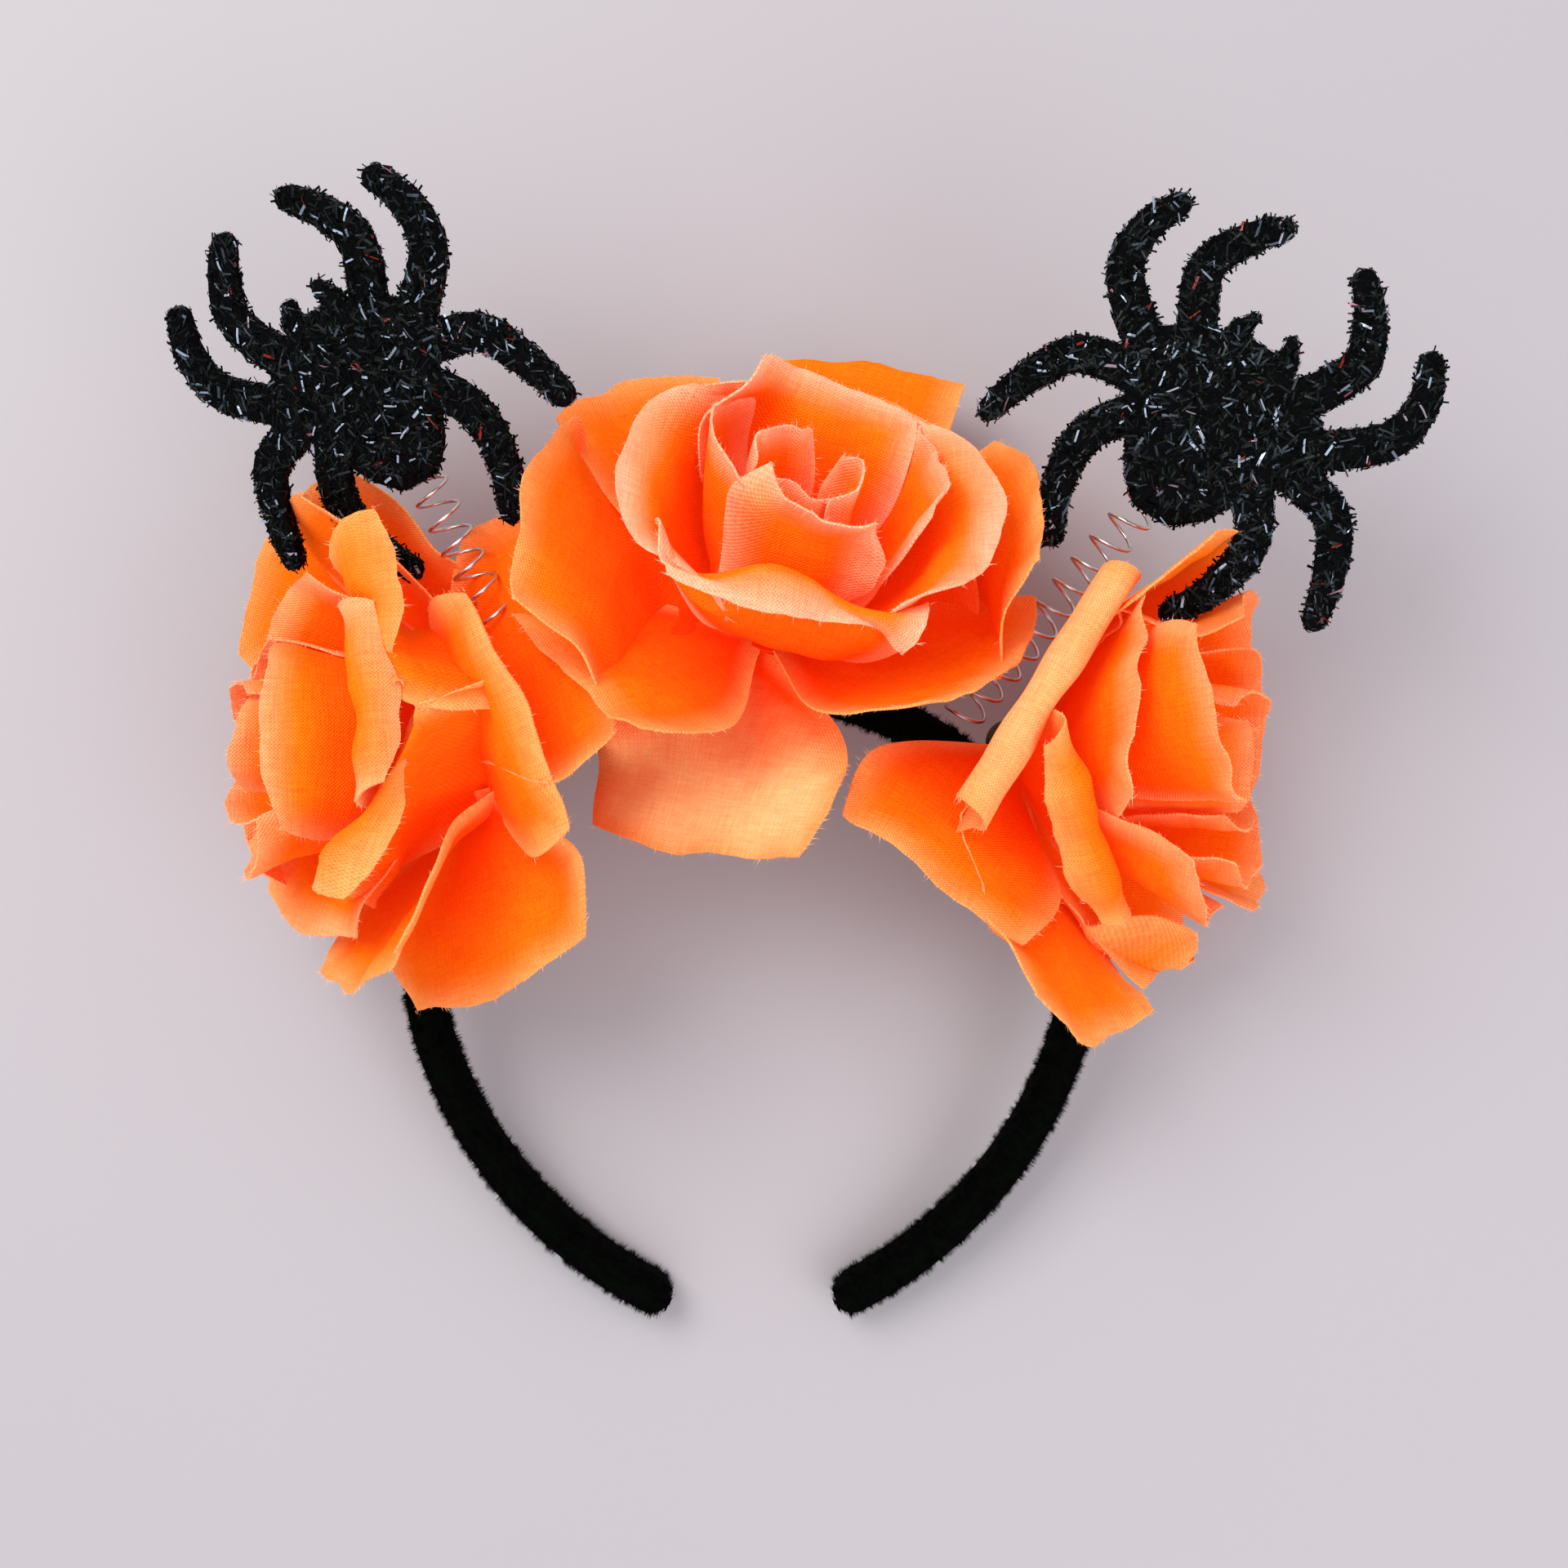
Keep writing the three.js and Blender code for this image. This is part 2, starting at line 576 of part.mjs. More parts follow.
class SpringCurve extends THREE.Curve {
  constructor(turns, length) {
    super()
    this.turns = turns
    this.length = length
  }

  getPoint(share, target = new THREE.Vector3()) {
    const angle = share * this.turns * 2 * Math.PI
    const radius = coilDiameter / 2
    return target.set(radius * Math.cos(angle), radius * Math.sin(angle), share * this.length)
  }
}

// A spring with its spider, and the room that both take in the arch's frame
function wobblerGroup({ name, seat, heading, lift, bearing, roll, stretch }) {
  const group = new THREE.Group()
  const coilRadius = coilDiameter / 2
  group.position.copy(seatAt(seat, coilRadius / 2 + wireDiameter + clearance))
  group.quaternion.setFromRotationMatrix(pinBasis(heading, lift))
  group.updateMatrix()

  const turns = Math.round(springLength / coilPitch)
  const length = springLength * stretch
  const corners = []
  for (const [x, y] of [[1, 0], [0, 1], [-1, 0], [0, -1]]) {
    corners.push(new THREE.Vector2(x, y).multiplyScalar(wireDiameter / 2))
  }
  const spring = solidOf(new THREE.ExtrudeGeometry(new THREE.Shape(corners), {
    extrudePath: new SpringCurve(turns, length), steps: turns * coilSides, bevelEnabled: false,
  }))
  group.add(meshOf(`${name}_spring`, spring, steel))

  const spider = meshOf(`${name}_spider`, spiderSolid(), tinsel)
  spider.position.set(0, (coilRadius + wireDiameter) / Math.cos(rad(roll)) + clearance, length)
  spider.rotation.set(-Math.PI / 2, rad(-roll), rad(180 + bearing + heading), 'XZY')
  spider.updateMatrix()
  group.add(spider)

  const tubeRadius = coilRadius + wireDiameter / 2 + clearance
  const tube = solidOf(new THREE.CylinderGeometry(tubeRadius, tubeRadius, length + wireDiameter, 10)
    .rotateX(Math.PI / 2).translate(0, 0, length / 2))
  const room = tube.add(movedBy(spiderSolid(clearance), spider.matrix))
  return { group, room: movedBy(room, group.matrix) }
}

// The whole headband

const arch = new THREE.Group()
arch.rotation.x = rad(lieAngle)
arch.add(meshOf('band', bandSolid(), flock))
let room = bandSolid(clearance)
for (const wobbler of wobblers) {
  const made = wobblerGroup(wobbler)
  arch.add(made.group)
  room = room.add(made.room)
}
for (const rose of roses) {
  const made = roseGroup(rose, room)
  arch.add(made.group)
  room = room.add(made.room)
}

const lying = new THREE.Group()
lying.add(arch)
const headband = new THREE.Group()
headband.add(lying)
headband.updateMatrixWorld(true)
const box = new THREE.Box3().setFromObject(headband, true)
const middle = box.getCenter(new THREE.Vector3())
lying.position.set(-middle.x, -middle.y, -box.min.z)
headband.updateMatrixWorld(true)

export default headband
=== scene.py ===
import math

import bpy
import numpy as np
from mathutils import Matrix, Vector
from mathutils.bvhtree import BVHTree


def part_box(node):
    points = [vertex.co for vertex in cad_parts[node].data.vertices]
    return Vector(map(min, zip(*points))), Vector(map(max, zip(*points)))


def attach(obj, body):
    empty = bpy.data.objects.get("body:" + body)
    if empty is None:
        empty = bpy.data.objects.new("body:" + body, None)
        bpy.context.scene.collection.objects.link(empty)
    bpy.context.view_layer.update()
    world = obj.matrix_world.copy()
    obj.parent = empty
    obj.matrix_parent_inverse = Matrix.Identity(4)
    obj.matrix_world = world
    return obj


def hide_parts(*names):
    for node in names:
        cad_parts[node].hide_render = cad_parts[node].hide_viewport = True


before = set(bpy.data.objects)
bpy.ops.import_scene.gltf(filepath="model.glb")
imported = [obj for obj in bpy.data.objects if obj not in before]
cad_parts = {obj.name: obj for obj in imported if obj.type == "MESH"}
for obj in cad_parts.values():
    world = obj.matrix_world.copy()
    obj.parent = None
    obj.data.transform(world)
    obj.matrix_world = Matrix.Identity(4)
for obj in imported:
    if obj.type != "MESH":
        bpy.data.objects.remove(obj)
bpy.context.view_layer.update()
mm = 0.001
tiny = 1e-9
chance = np.random.RandomState(11)

# the arch's own frame: its middle lies at the crown circle's centre, and it leans as it lies

arch = {
    "crownRadius": 64, "crownSweep": 67,
    "shoulderRadius": 46.5, "shoulderSweep": 38.7,
    "legRadius": 87, "legSweep": 47.3,
    "stripWidth": 10, "stripThickness": 7, "stripRound": 2.2,
    "lieAngle": 13,
}
arcs = [(arch[part + "Radius"], arch[part + "Sweep"]) for part in ("crown", "shoulder", "leg")]
halfLength = sum(radius * math.radians(sweep) for radius, sweep in arcs)


def archPoint(distance):  # place on the middle line and its heading from the crown, right side positive
    side = 1 if distance >= 0 else -1
    x, y, heading, rest = 0.0, arch["crownRadius"], 0.0, abs(distance)
    for radius, sweep in arcs:
        step = min(rest, radius * math.radians(sweep)) / radius
        x += radius * (math.sin(heading + step) - math.sin(heading))
        y += radius * (math.cos(heading + step) - math.cos(heading))
        heading += step
        rest -= step * radius
        if rest <= tiny:
            break
    return side * x, y, side * heading


def archToRow():
    low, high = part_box("band")
    x, y, heading = archPoint(halfLength)
    halfThick, halfWide, cut = arch["stripThickness"] / 2, arch["stripWidth"] / 2, arch["stripRound"]
    lean = Matrix.Rotation(math.radians(arch["lieAngle"]), 4, "X")
    corners = [(halfThick, halfWide - cut), (halfThick - cut, halfWide)]
    points = [lean @ Vector((x + a * out * math.sin(heading), y + a * out * math.cos(heading), b * up))
              for a, b in corners for out in (1, -1) for up in (1, -1)]
    shift = Vector(((low.x + high.x) / 2 / mm,
                    low.y / mm - min(p.y for p in points),
                    low.z / mm - min(p.z for p in points)))
    return Matrix.Scale(mm, 4) @ Matrix.Translation(shift) @ lean


archMatrix = archToRow()


def pinMatrix(seat, out, heading, lift):  # a pin that stands on the arch's outer face
    a, h, up = (math.radians(v) for v in (seat, heading, lift))
    reach = arch["crownRadius"] + arch["stripThickness"] / 2 + out
    pin = Vector((math.sin(h) * math.cos(up), math.cos(h) * math.cos(up), math.sin(up)))
    face = (Vector((0, 0, 1)) - pin * pin.z).normalized()
    side = face.cross(pin)
    turned = Matrix((side, face, pin)).transposed().to_4x4()
    return Matrix.Translation((reach * math.sin(a), reach * math.cos(a), 0)) @ turned


# small helpers

def deselect():
    if bpy.context.object and bpy.context.object.mode != "OBJECT":
        bpy.ops.object.mode_set(mode="OBJECT")
    bpy.ops.object.select_all(action="DESELECT")


def choose(thing):
    deselect()
    thing.select_set(True)
    bpy.context.view_layer.objects.active = thing


def newest(name):
    thing = bpy.context.object
    thing.name = name
    thing.data.name = name
    return thing


def applyModifier(thing, kind, **settings):
    choose(thing)
    modifier = thing.modifiers.new(kind.lower(), kind)
    for key, value in settings.items():
        setattr(modifier, key, value)
    bpy.ops.object.modifier_apply(modifier=modifier.name)


def meshFrom(name, points, faces=(), edges=()):
    data = bpy.data.meshes.new(name)
    data.from_pydata([tuple(p) for p in points], list(edges), [tuple(f) for f in faces])
    thing = bpy.data.objects.new(name, data)
    bpy.context.scene.collection.objects.link(thing)
    return thing


def pointValues(thing, name, values):
    attribute = thing.data.attributes.new(name, "FLOAT", "POINT")
    attribute.data.foreach_set("value", np.asarray(values, np.float32))


def editAll(thing):  # into edit mode, with the whole mesh selected
    choose(thing)
    bpy.ops.object.mode_set(mode="EDIT")
    bpy.ops.mesh.select_all(action="SELECT")


def leaveFacingOut():  # turns the selected faces outwards and ends edit mode
    bpy.ops.mesh.normals_make_consistent(inside=False)
    bpy.ops.object.mode_set(mode="OBJECT")


def joinAll(name, things):
    deselect()
    for thing in things:
        thing.select_set(True)
    bpy.context.view_layer.objects.active = things[0]
    if len(things) > 1:
        bpy.ops.object.join()
    return newest(name)


def smoothShade(thing, angle):
    choose(thing)
    bpy.ops.object.shade_smooth_by_angle(angle=math.radians(angle))


def toRow(thing, matrix):  # from the arch's millimetres to the row frame, with the place kept in the mesh
    thing.data.transform(archMatrix @ matrix)
    thing.matrix_world = Matrix.Identity(4)
    thing.data.update()


def place(thing, material, slot, *nodes):
    thing.data.materials.clear()
    thing.data.materials.append(material)
    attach(thing, "root")
    if nodes:
        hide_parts(*nodes)
    return thing


def unit(ways):  # one direction or a grid of them, each made one long
    return ways / (np.linalg.norm(ways, axis=-1, keepdims=True) + tiny)


def smooth(x):
    x = np.clip(x, 0, 1)
    return x * x * (3 - 2 * x)


def smoothFrom(start, share):  # nothing up to the start, then a smooth rise to 1 at the end
    return smooth((share - start) / (1 - start))


def soften(grid):  # evens a petal's grid of values out a little, along it and across it
    grid[1:-1] = 0.5 * grid[1:-1] + 0.25 * (grid[:-2] + grid[2:])
    grid[:, 1:-1] = 0.5 * grid[:, 1:-1] + 0.25 * (grid[:, :-2] + grid[:, 2:])


def addFibre(points, faces, root, tip, side):  # one thin triangle
    first = len(points)
    points.extend([root - side, root + side, tip])
    faces.append((first, first + 1, first + 2))


# camera, over the middle of the table

view = {"height": 420, "lens": 47.83, "bandRight": -6.3, "bandFoot": -106.2}
bandLow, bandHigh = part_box("band")
bpy.ops.object.camera_add(location=(
    (bandLow.x + bandHigh.x) / 2 - view["bandRight"] * mm,
    bandLow.y - view["bandFoot"] * mm,
    view["height"] * mm,
), rotation=(0, 0, 0))
camera = bpy.context.object
camera.data.lens = view["lens"]
camera.data.sensor_width = 36
bpy.context.scene.camera = camera
print("camera set")


# shader maths

class Wire:
    def __init__(self, tree, socket):
        self.tree, self.socket = tree, socket

    def math(self, operation, *values):
        node = self.tree.nodes.new("ShaderNodeMath")
        node.operation = operation
        for socket, value in zip(node.inputs, values):
            plug(self.tree, socket, value)
        return Wire(self.tree, node.outputs[0])

    def __add__(self, other):
        return self.math("ADD", self, other)

    __radd__ = __add__

    def __mul__(self, other):
        return self.math("MULTIPLY", self, other)

    __rmul__ = __mul__

    def __sub__(self, other):
        return self.math("SUBTRACT", self, other)

    def __rsub__(self, other):
        return self.math("SUBTRACT", other, self)

    def __pow__(self, other):
        return self.math("POWER", self, other)

    def sine(self):
        return self.math("SINE", self)

    def clamped(self):
        return self.math("MAXIMUM", self.math("MINIMUM", self, 1.0), 0.0)


def plug(tree, socket, value):
    if isinstance(value, Wire):
        tree.links.new(value.socket, socket)
    else:
        socket.default_value = value


class Finish:
    def __init__(self, name, **constants):
        self.material = bpy.data.materials.new(name)
        self.material.use_nodes = True
        self.tree = self.material.node_tree
        self.shader = self.tree.nodes["Principled BSDF"]
        for key, value in constants.items():
            self.shader.inputs[key].default_value = value

    def node(self, kind, settings=None, inputs=None, output=0):
        made = self.tree.nodes.new("ShaderNode" + kind)
        for key, value in (settings or {}).items():
            if key == "stops":
                self.ramp(made, value)
            else:
                setattr(made, key, value)
        for key, value in (inputs or {}).items():
            plug(self.tree, made.inputs[key], value)
        return Wire(self.tree, made.outputs[output])

    def ramp(self, node, stops):
        elements = node.color_ramp.elements
        while len(elements) < len(stops):
            elements.new(0.5)
        for element, (position, colour) in zip(elements, stops):
            element.position = position
            element.color = (*colour, 1)

    def mix(self, factor, first, second):
        return self.node("Mix", {"data_type": "RGBA"}, {0: factor, 6: first, 7: second}, 2)

    def feed(self, key, value):
        plug(self.tree, self.shader.inputs[key], value)

    def attribute(self, name):
        return self.node("Attribute", {"attribute_name": name}, output=2)

    def noise(self, scale, detail=2.0, **more):  # over the piece's own place
        where = self.node("TexCoord", output=3)
        return self.node("TexNoise", inputs={"Vector": where, "Scale": scale, "Detail": detail, **more})

    def bump(self, height, distance, strength):
        inputs = {"Strength": strength, "Distance": distance, "Height": height}
        self.feed("Normal", self.node("Bump", inputs=inputs))


def rgba(colour, share=1):
    return (*(min(1, c * share) for c in colour), 1)


# the petals' cloth

cloth = {
    # the deep red is painted shade, laid on the petals near the hub of each rose
    # the pale orange is painted light, as if the thin cloth were lit through
    "deep": (0.98, 0.026, 0.001), "body": (0.98, 0.205, 0.004), "thin": (1.0, 0.57, 0.235),
    # the rim colours are painted highlights at the petals' edges
    "rim": (1.0, 0.37, 0.105),
    "heartRimHighlight": {"centre": (1.0, 0.46, 0.26), "left": (1.0, 0.40, 0.16), "right": (1.0, 0.36, 0.13)},
    "rimHighlightPower": {"bud": 2.0, "inner": 1.7, "cup": 1.0, "second": 1.4, "outer": 1.7},
    "rimHighlightAmount": 1.05, "hubShadePower": 1.2, "hubShadeAmount": 1.1,
    "paintedGlow": (1.0, 0.06, 0.0), "paintedGlowStrength": 0.13,  # painted glow: the petals give off a little orange light of their own, which lifts their shaded parts; the dye is a bright, fluorescent one
    "cloudScale": 55.0, "washScale": 95.0, "hairScale": 900.0,
    "rimHighlightCloud": 1.6, "litThroughCloud": 1.5, "hubShadeWash": 0.3,  # how unevenly, at random, the painted rim highlight, the painted light through thin cloth and the painted hub shade lie
    "weavePitch": 0.66, "weaveDepth": 0.13, "weaveShade": 0.42, "hairShade": 0.16, "slubShade": 0.45,
    "slubWidth": 0.4, "slubLength": 6, "thickness": 0.4,
}


def petalFinish(rose, layer):
    # painted highlight at the petals' edges, for light on their curled lips; the petals of a rose's heart are
    # paler at their edges
    rim = cloth["rim"] if layer in ("outer", "second") else cloth["heartRimHighlight"][rose]
    finish = Finish(rose + layer.capitalize() + "Silk", **{
        "Roughness": 0.92, "Specular IOR Level": 0.04,
        "Subsurface Weight": 0.25, "Subsurface Radius": (1.0, 0.3, 0.08), "Subsurface Scale": 0.0016,
        # painted glow of the petals' own, lifting their shaded parts
        "Emission Color": rgba(cloth["paintedGlow"]), "Emission Strength": cloth["paintedGlowStrength"],
    })
    reach, rimGap, thin = (finish.attribute(name) for name in ("reach", "rimGap", "thin"))
    flatPlace = finish.node("UVMap", {"uv_map": "cloth"})
    across = finish.node("SeparateXYZ", inputs={0: flatPlace})
    along = finish.node("SeparateXYZ", inputs={0: flatPlace}, output=1)
    turns = 2 * math.pi / cloth["weavePitch"]
    crossing = (across * turns).sine() * (along * turns).sine()
    slub = 0.0
    for first, second in ((across, along), (along, across)):  # thick and thin places of single threads
        strand = finish.node("CombineXYZ", inputs={
            0: first * (1 / cloth["slubWidth"]), 1: second * (1 / cloth["slubLength"])})
        slub = finish.node("TexNoise", inputs={"Vector": strand, "Scale": 1.0, "Detail": 1.0}) + slub
    cloud = finish.noise(cloth["cloudScale"], 3.0) - 0.5
    wash = finish.noise(cloth["washScale"], 4.0, Roughness=0.6) - 0.5
    hair = finish.noise(cloth["hairScale"]) - 0.5
    # painted shade: the petals turn darker and deeper red towards the hub, deep in the rose, with a random
    # wash
    hubShadeShare = (1 - reach) ** cloth["hubShadePower"] * cloth["hubShadeAmount"] + wash * cloth["hubShadeWash"]
    # painted light: petals of thin cloth turn paler towards their tips, as if lit through
    litThroughShare = thin * (reach * 2.2 - 0.4 + cloud * cloth["litThroughCloud"])
    # painted highlight: paler towards the petal's edges, unevenly at random
    rimHighlightShare = (1 - rimGap) ** cloth["rimHighlightPower"][layer] * (cloth["rimHighlightAmount"] + cloud * cloth["rimHighlightCloud"])
    dye = finish.mix(hubShadeShare.clamped(), rgba(cloth["body"]), rgba(cloth["deep"]))
    dye = finish.mix(litThroughShare.clamped(), dye, rgba(cloth["thin"]))
    dye = finish.mix(rimHighlightShare.clamped(), dye, rgba(rim))
    darkness = (((crossing * 0.5 + 0.5) ** 1.5) * cloth["weaveShade"] + hair * cloth["hairShade"]
                + (slub - 1) * cloth["slubShade"] - 0.1)
    weave = finish.node("CombineColor", inputs={0: 1 - darkness * 0.35, 1: 1 - darkness, 2: 1 - darkness})
    finish.feed("Base Color", finish.node("Mix", {"data_type": "RGBA", "blend_type": "MULTIPLY"},
                                          {0: 1.0, 6: dye, 7: weave}, 2))
    finish.bump(crossing + hair * 0.7 + slub * 2, cloth["weaveDepth"] * mm, 0.6)
    return finish.material


# petal tables: the rose's own frame has its pin on +Z, and 90 degrees of turn faces up from the table

petal = {
    "length": 45, "width": 48, "hubRadius": 4.5, "hubSides": 20, "rootInset": 1.2, "along": 34, "across": 30,
    "neck": 0.14, "widest": 0.65, "taper": 0.13,  # narrow at the hub, widest here, narrower at its tip
    "edgeWaves": ((1, 3.7, 4), (0.4, 9, 5), (0.12, 27, 6)), "sideWaves": ((1, 8, 7), (0.12, 31, 5)),
    "looseFrom": 0.25, "cornerAcross": 0.45, "cornerAlong": 0.6, "creases": 3, "creaseApart": (7, 12),
    "rimWidth": 7.0, "slopeSteps": 160, "curlSteps": 18,
}
plainPetal = {  # lengths as shares of the petal's, slopes in degrees at the hub, past the bend and at the lip
    "turn": 0, "length": 1, "width": 1, "spread": 0, "rise": 60, "bend": 0.5, "lip": 0, "lipStart": 0.65,
    "wrap": 1, "cup": 0, "twist": 0, "lean": 0, "point": 0.03, "corner": 0.06, "ruffle": 0.7, "waves": 2.5,
    "ragged": 0.014, "crinkle": 0.3, "cornerLift": 2.6, "wideLow": 0, "wideHigh": 0, "thin": 0,
}
layerHeights = {"outer": 0.8, "second": 2.1, "cup": 8.7, "inner": 10.0, "bud": 11.3}
roses = {
    "centre": {
        "seat": 2, "heading": 14, "lift": 29,
        "outer": [
            dict(turn=86, length=0.88, width=1.14, spread=-25, rise=-37, bend=0.4, wrap=0, twist=40,
                 cup=8, point=0, corner=0.05, wideLow=0.35, thin=1.0),
            dict(turn=6, length=1.12, width=1.1, spread=10, rise=36, twist=-8, wrap=0.3, corner=0.06),
            dict(turn=262, length=1.46, width=0.85, spread=20, rise=40, wrap=0.3, twist=-12, lip=-110,
                 lipStart=0.8),
            dict(turn=200, length=1.26, width=1.0, spread=8, rise=58, bend=0.6, wrap=0.4, twist=-10,
                 cup=-16),
        ],
        "second": [
            dict(turn=38, length=0.86, width=1.05, spread=3, rise=4, bend=0.4, wrap=0, twist=12, cup=-8),
            dict(turn=158, length=1.0, width=1.04, spread=3, rise=31, wrap=0, twist=-4, cup=15),
            dict(turn=312, length=1.22, width=0.8, spread=18, rise=20, bend=0.6, cup=15),
            dict(turn=235, length=1.1, width=0.9, spread=5, rise=58, bend=0.6),
        ],
        "cup": [
            dict(turn=10, length=0.9, width=1.16, spread=24, rise=76, bend=0.86, lip=-60, twist=-10,
                 cup=-12, corner=0.25),
            dict(turn=185, length=1.0, width=1.15, spread=24, rise=82, bend=0.86, lip=-62, twist=6,
                 cup=-18, corner=0.25),
            dict(turn=275, length=0.95, width=0.95, spread=10, rise=86, bend=0.76),
            dict(turn=95, length=1.02, width=1.0, spread=5, rise=102, bend=0.76, lip=-145, twist=-17,
                 cup=-18),
        ],
        "inner": [
            dict(turn=350, length=0.82, width=0.85, spread=12, rise=82, bend=0.56, twist=26, cup=-12),
            dict(turn=267, length=0.93, width=0.74, spread=12, rise=80, bend=0.5, lip=-42, twist=18),
            dict(turn=198, length=0.88, width=0.64, spread=18, rise=72, bend=0.56, twist=-8, cup=-14),
            dict(turn=97, length=0.8, width=0.5, spread=15, rise=93, bend=0.46, lip=-38, twist=-20),
        ],
        "bud": [
            dict(turn=70, length=0.66, width=0.4, spread=25, rise=92, bend=0.3),
            dict(turn=190, length=0.7, width=0.4, spread=25, rise=90, bend=0.36),
            dict(turn=310, length=0.72, width=0.4, spread=25, rise=88, bend=0.44),
        ],
    },
    "left": {
        "seat": -44, "heading": -84, "lift": 18,
        "outer": [
            dict(turn=150, length=0.8, width=1.2, spread=15, rise=-38, twist=17, wrap=0, cup=20),
            dict(turn=34, length=0.95, width=1.15, spread=10, rise=-5, twist=-30, wrap=0, wideLow=0.2),
            dict(turn=228, length=1.3, width=0.99, spread=5, rise=51, twist=30, cup=-7),
            dict(turn=300, length=0.95, width=0.9, spread=0, rise=43),
        ],
        "second": [
            dict(turn=114, length=0.8, width=1.0, spread=20, rise=0, lean=22, wrap=0, lip=-40,
                 lipStart=0.6),
            dict(turn=88, length=0.94, width=0.87, spread=3, rise=65, wrap=0.4, lip=-132, lipStart=0.7,
                 twist=-33, cup=-20),
            dict(turn=34, length=1.05, width=0.85, spread=12, rise=33, twist=-15, wrap=0.3, cup=18),
            dict(turn=148, length=1.04, width=0.78, spread=24, rise=45, wrap=0.4, lip=-130, lipStart=0.75,
                 twist=18, cup=-10),
            dict(turn=205, length=1.25, width=0.64, spread=3, rise=51, wrap=0.6, twist=5, cup=-10),
        ],
        "cup": [
            dict(turn=122, length=0.94, width=0.75, spread=20, rise=50, bend=0.6, wrap=0.4, lip=-165,
                 lipStart=0.68, lean=4),
            dict(turn=10, length=0.86, width=0.82, spread=15, rise=53, wrap=0.5, lip=-40, twist=-18),
            dict(turn=222, length=0.85, width=0.84, spread=14, rise=71, wrap=0.6, lip=-27, twist=21),
            dict(turn=295, length=0.9, width=0.9, spread=15, rise=72, bend=0.55),
        ],
        "inner": [
            dict(turn=15, length=0.88, width=0.85, spread=15, rise=78, bend=0.6, lip=-15),
            dict(turn=122, length=0.86, width=0.97, spread=17, rise=79, bend=0.58, wrap=1.1, lip=20),
            dict(turn=250, length=0.86, width=1.0, spread=5, rise=86, bend=0.56),
        ],
        "bud": [
            dict(turn=100, length=0.86, width=0.54, spread=10, rise=96, bend=0.36),
            dict(turn=220, length=0.86, width=0.54, spread=10, rise=94, bend=0.44),
            dict(turn=340, length=0.88, width=0.56, spread=10, rise=92, bend=0.5),
        ],
    },
    "right": {
        "seat": 42, "heading": 92, "lift": 20,
        "outer": [
            dict(turn=110, length=0.86, width=0.92, spread=0, rise=-8, lean=50, wrap=0, cup=-18,
                 wideHigh=0.2),
            dict(turn=52, length=1.0, width=1.12, spread=20, rise=37, bend=0.4, lean=-19, wrap=0,
                 lip=-220, lipStart=0.6, ragged=0.003, ruffle=0.1, crinkle=0.06, cornerLift=0, thin=0.45),
            dict(turn=148, length=1.22, width=0.83, spread=13, rise=30, twist=24, wrap=0.3, cup=7),
            dict(turn=275, length=0.95, width=0.9, spread=0, rise=42),
        ],
        "second": [
            dict(turn=116, length=0.95, width=0.88, spread=20, rise=58, lean=13, wrap=0.1, lip=-160),
            dict(turn=202, length=1.09, width=0.8, spread=15, rise=46, bend=0.6, twist=7),
            dict(turn=348, length=1.2, width=0.9, spread=20, rise=52, wrap=0.5),
            dict(turn=195, length=1.12, width=0.67, spread=18, rise=52, bend=0.6, twist=-25),
            dict(turn=310, length=0.9, width=0.9, spread=10, rise=52, bend=0.6),
        ],
        "cup": [
            dict(turn=57, length=0.76, width=0.85, spread=15, rise=42, bend=0.6, twist=6),
            dict(turn=222, length=1.12, width=0.75, spread=21, rise=58, bend=0.6, twist=-22),
            dict(turn=335, length=0.98, width=0.85, spread=16, rise=62, bend=0.6, twist=8),
            dict(turn=150, length=0.95, width=0.8, spread=15, rise=66, bend=0.6),
        ],
        "inner": [
            dict(turn=66, length=0.95, width=0.8, spread=40, rise=50, bend=0.6, twist=34, cup=22),
            dict(turn=190, length=1.0, width=0.75, spread=12, rise=85, bend=0.6),
            dict(turn=290, length=0.95, width=0.9, spread=5, rise=84, bend=0.56),
        ],
        "bud": [
            dict(turn=80, length=0.86, width=0.54, spread=10, rise=96, bend=0.36),
            dict(turn=200, length=0.86, width=0.54, spread=10, rise=94, bend=0.44),
            dict(turn=320, length=0.88, width=0.56, spread=10, rise=92, bend=0.5),
        ],
    },
}


def widthShare(share):
    opening = np.sin(np.pi / 2 * np.minimum(1, share / petal["widest"]))
    closing = np.maximum(0, (share - petal["widest"]) / (1 - petal["widest"]))
    return (petal["neck"] + (1 - petal["neck"]) * opening ** 1.15) * (1 - petal["taper"] * closing ** 2)


def wavy(place, waves, phase):  # each wave has its size, its pace and the number of its phase
    return sum(size * np.sin(pace * place + phase[number]) for size, pace, number in waves)


